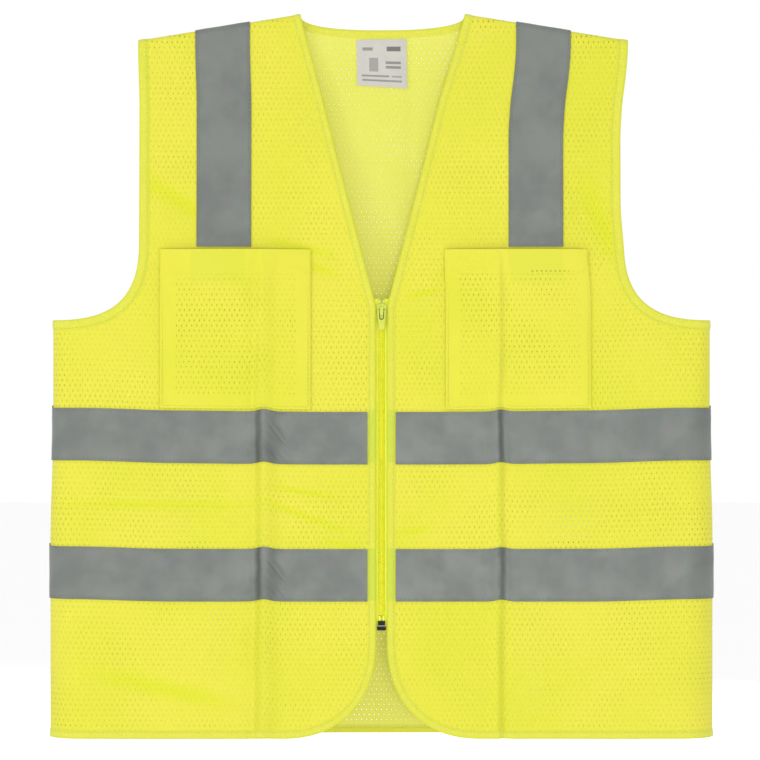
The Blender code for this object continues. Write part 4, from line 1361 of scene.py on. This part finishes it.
def zip_coil(word, side):
    """One side's nylon coil: flattened loops, half a pitch apart from the other side's."""
    node = f"{word}_zip_coil"
    box_low, box_high = low(node), high(node)
    pitch, around, ring, wire = 0.0013, 14, 6, 0.00027
    reach, thick, middle = 0.00145, 0.00085, -0.0008
    side_gap, end_gap = 0.0003, 0.0004
    turns = int((box_high.z - box_low.z - 2 * end_gap) / pitch)
    centre_x = max(abs(box_low.x), abs(box_high.x)) - reach - side_gap
    shift = 0.0 if side > 0 else pitch / 2
    angle = np.linspace(0, 2 * math.pi * turns, around * turns + 1)
    x = centre_x + reach * np.sign(np.cos(angle)) * np.abs(np.cos(angle)) ** 0.75
    z = box_low.z + end_gap + shift + pitch * angle / (2 * math.pi)
    path = leaning(side * x, z, middle + thick * np.sin(angle))
    way = np.gradient(path, axis=0)
    way /= np.linalg.norm(way, axis=1, keepdims=True)
    first = np.cross(way, (0.0, 0.0, 1.0))
    first /= np.linalg.norm(first, axis=1, keepdims=True)
    second = np.cross(way, first)
    corners = np.linspace(0, 2 * math.pi, ring, endpoint=False)[:, None]
    rings = path[:, None] + wire * (np.cos(corners) * first[:, None] + np.sin(corners) * second[:, None])
    faces = tube_faces(len(path), ring)
    obj = make_object(f"{word}_nylon_coil", rings, faces, rings[..., [0, 2]], LOOKS["coil"], 80)
    make_outward(obj)
    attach(obj, f"{word}_front")
    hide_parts(node)


def rounded_cad(node, look, width):
    """A CAD node that stays: its edges rounded, and its look."""
    obj = frame["nodes"][node]
    bevel = obj.modifiers.new("rounded edges", "BEVEL")
    bevel.width = width
    bevel.segments = 3
    bevel.limit_method = "ANGLE"
    bevel.angle_limit = math.radians(35)
    for material_slot in obj.material_slots:
        material_slot.material = LOOKS[look]
    if not obj.material_slots:
        obj.data.materials.append(LOOKS[look])


# The two threads: their look and their slot
YELLOW_THREAD = ("yellow_thread", "binding")
GREY_THREAD = ("grey_thread", "reflective_tape")


def make_stitches(thread, name, look, slot, word=None):
    """Makes a thread's stitches. Without a word they hang from the vest; with one, their transform is
    baked into their mesh.
    """
    obj = thread.make(name, LOOKS[look])
    if word is None:
        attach(obj, "vest")
    else:
        across_fold(obj)


def build_side(word, side):
    """One front with its tapes, pocket and half of the zip, and the seams and armhole beside it."""
    seam_thread, tape_thread = Thread(), Thread()
    front_thread, waist_thread = Thread(), Thread()
    cloth, flat, area = front_cloth(word, side)
    fold = seam_fold(f"{word}_shoulder_fold", f"{word}_shoulder_seam")
    seam_fold(f"{word}_side_fold", f"{word}_side_seam")
    line = front_line()
    edge = binding(f"{word}_front_binding", line, EDGE, FRONT, side)
    across_fold(edge)
    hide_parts(f"{word}_neck_binding", f"{word}_front_edge_binding", f"{word}_front_hem_binding")
    sew_binding(front_thread, line, EDGE, FRONT, side)
    line = armhole_line()
    for part, depth in (("front", FRONT), ("back", BACK)):
        trim = binding(f"{word}_armhole_{part}_binding", line, ARMHOLE_EDGE, depth, side)
        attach(trim, "vest")
        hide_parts(f"{word}_armhole_binding_{part}")
        sew_binding(seam_thread, line, ARMHOLE_EDGE, depth, side)
        name = f"{word}_shoulder_{part}_tape"
        tape, size = shoulder_tape(name, f"{word}_shoulder_tape_{part}", depth, tape_thread)
    for level in ("upper", "lower"):
        nodes = f"{word}_{level}_waist_tape", f"{word}_{level}_tape_end"
        tape, size = waist_tape(f"{word}_{level}_tape", word, side, *nodes, waist_thread)
    patch, size = pocket(word, side, seam_thread)
    tape, size = zip_tape(word, side)
    zip_coil(word, side)
    make_stitches(seam_thread, f"{word}_side_stitches", *YELLOW_THREAD)
    make_stitches(tape_thread, f"{word}_shoulder_tape_stitches", *GREY_THREAD)
    make_stitches(front_thread, f"{word}_front_stitches", *YELLOW_THREAD, word)
    make_stitches(waist_thread, f"{word}_waist_tape_stitches", *GREY_THREAD, word)


def build_back():
    """The back with its bindings, waist tapes and label."""
    cloth, flat, area = back_cloth()
    neck = binding("back_neck_edge", neck_line(), EDGE, BACK)
    hem = binding("back_hem_edge", hem_line(), EDGE, BACK)
    for trim, node in ((neck, "back_neck_binding"), (hem, "back_hem_binding")):
        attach(trim, "vest")
        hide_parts(node)
    edge_thread, tape_thread = Thread(), Thread()
    for line in (neck_line(), hem_line()):
        sew_binding(edge_thread, line, EDGE, BACK)
    for level in ("upper", "lower"):
        tape, size = back_tape(f"back_{level}_tape", f"back_{level}_waist_tape", tape_thread)
    make_stitches(edge_thread, "back_stitches", *YELLOW_THREAD)
    make_stitches(tape_thread, "back_tape_stitches", *GREY_THREAD)
    tag, size = label()


def build():
    for word, side in SIDES.items():
        build_side(word, side)
    build_back()
    for node in ("right_top_stop", "left_top_stop", "zip_slider", "zip_pull"):
        rounded_cad(node, "paint", 0.00022)
    for node in ("retainer_pin", "insertion_pin"):
        rounded_cad(node, "coil", 0.00025)
    rounded_cad("retainer_box", "black", 0.00025)


# ---------------------------------------------------------------- camera, lights and floor

# Each lamp's place, the length of its sides and its power. All look at the vest's middle.
LAMPS = {
    "key": ((-2.3, -1.7, -0.3), 0.7, 13),
    "front": ((0.2, -2.1, -0.58), 0.55, 13.5),
    "rear": ((0.9, 2.6, 0.6), 1.5, 22),
}
MIDDLE = Vector((0, 0, -0.32))
FLOOR_SIZE = 24
FLOOR_BELOW_HEM = 0.25
LENS = 150
SENSOR = 36
VIEW_WIDTH = 0.6954
CAMERA_X = -0.0014
CAMERA_Z = -0.3243


def area_light(name, place, size, energy):
    data = bpy.data.lights.new(name, "AREA")
    data.size = size
    data.energy = energy
    light = bpy.data.objects.new(name, data)
    light.location = place
    light.rotation_euler = (MIDDLE - Vector(place)).to_track_quat("-Z", "Y").to_euler()
    bpy.context.scene.collection.objects.link(light)


def studio():
    scene = bpy.context.scene
    scene.view_settings.view_transform = "Standard"
    world = bpy.data.worlds.new("white studio")
    world.use_nodes = True
    background = world.node_tree.nodes["Background"]
    background.inputs["Color"].default_value = (1, 1, 1, 1)
    background.inputs["Strength"].default_value = 1.0
    scene.world = world
    for name, lamp in LAMPS.items():
        area_light(name, *lamp)
    look = Look("floor_look", 0.9)
    tone = look.times(look.noise(look.on_object(), 3.0), 0.3)
    bpy.ops.mesh.primitive_plane_add(size=FLOOR_SIZE, location=(0, 0, HEM_Z - FLOOR_BELOW_HEM))
    floor = bpy.context.object
    floor.name = "floor"
    floor.data.materials.append(look.done(look.mix(tone, (0.97, 0.97, 0.97), (0.93, 0.93, 0.93))))
    data = bpy.data.cameras.new("camera")
    data.lens = LENS
    data.sensor_width = SENSOR
    camera = bpy.data.objects.new("camera", data)
    distance = VIEW_WIDTH * LENS / SENSOR
    camera.location = (CAMERA_X, -half_depth(MIDDLE.z) - distance, CAMERA_Z)
    camera.rotation_euler = (math.pi / 2, 0, 0)
    scene.collection.objects.link(camera)
    scene.camera = camera


studio()
build()
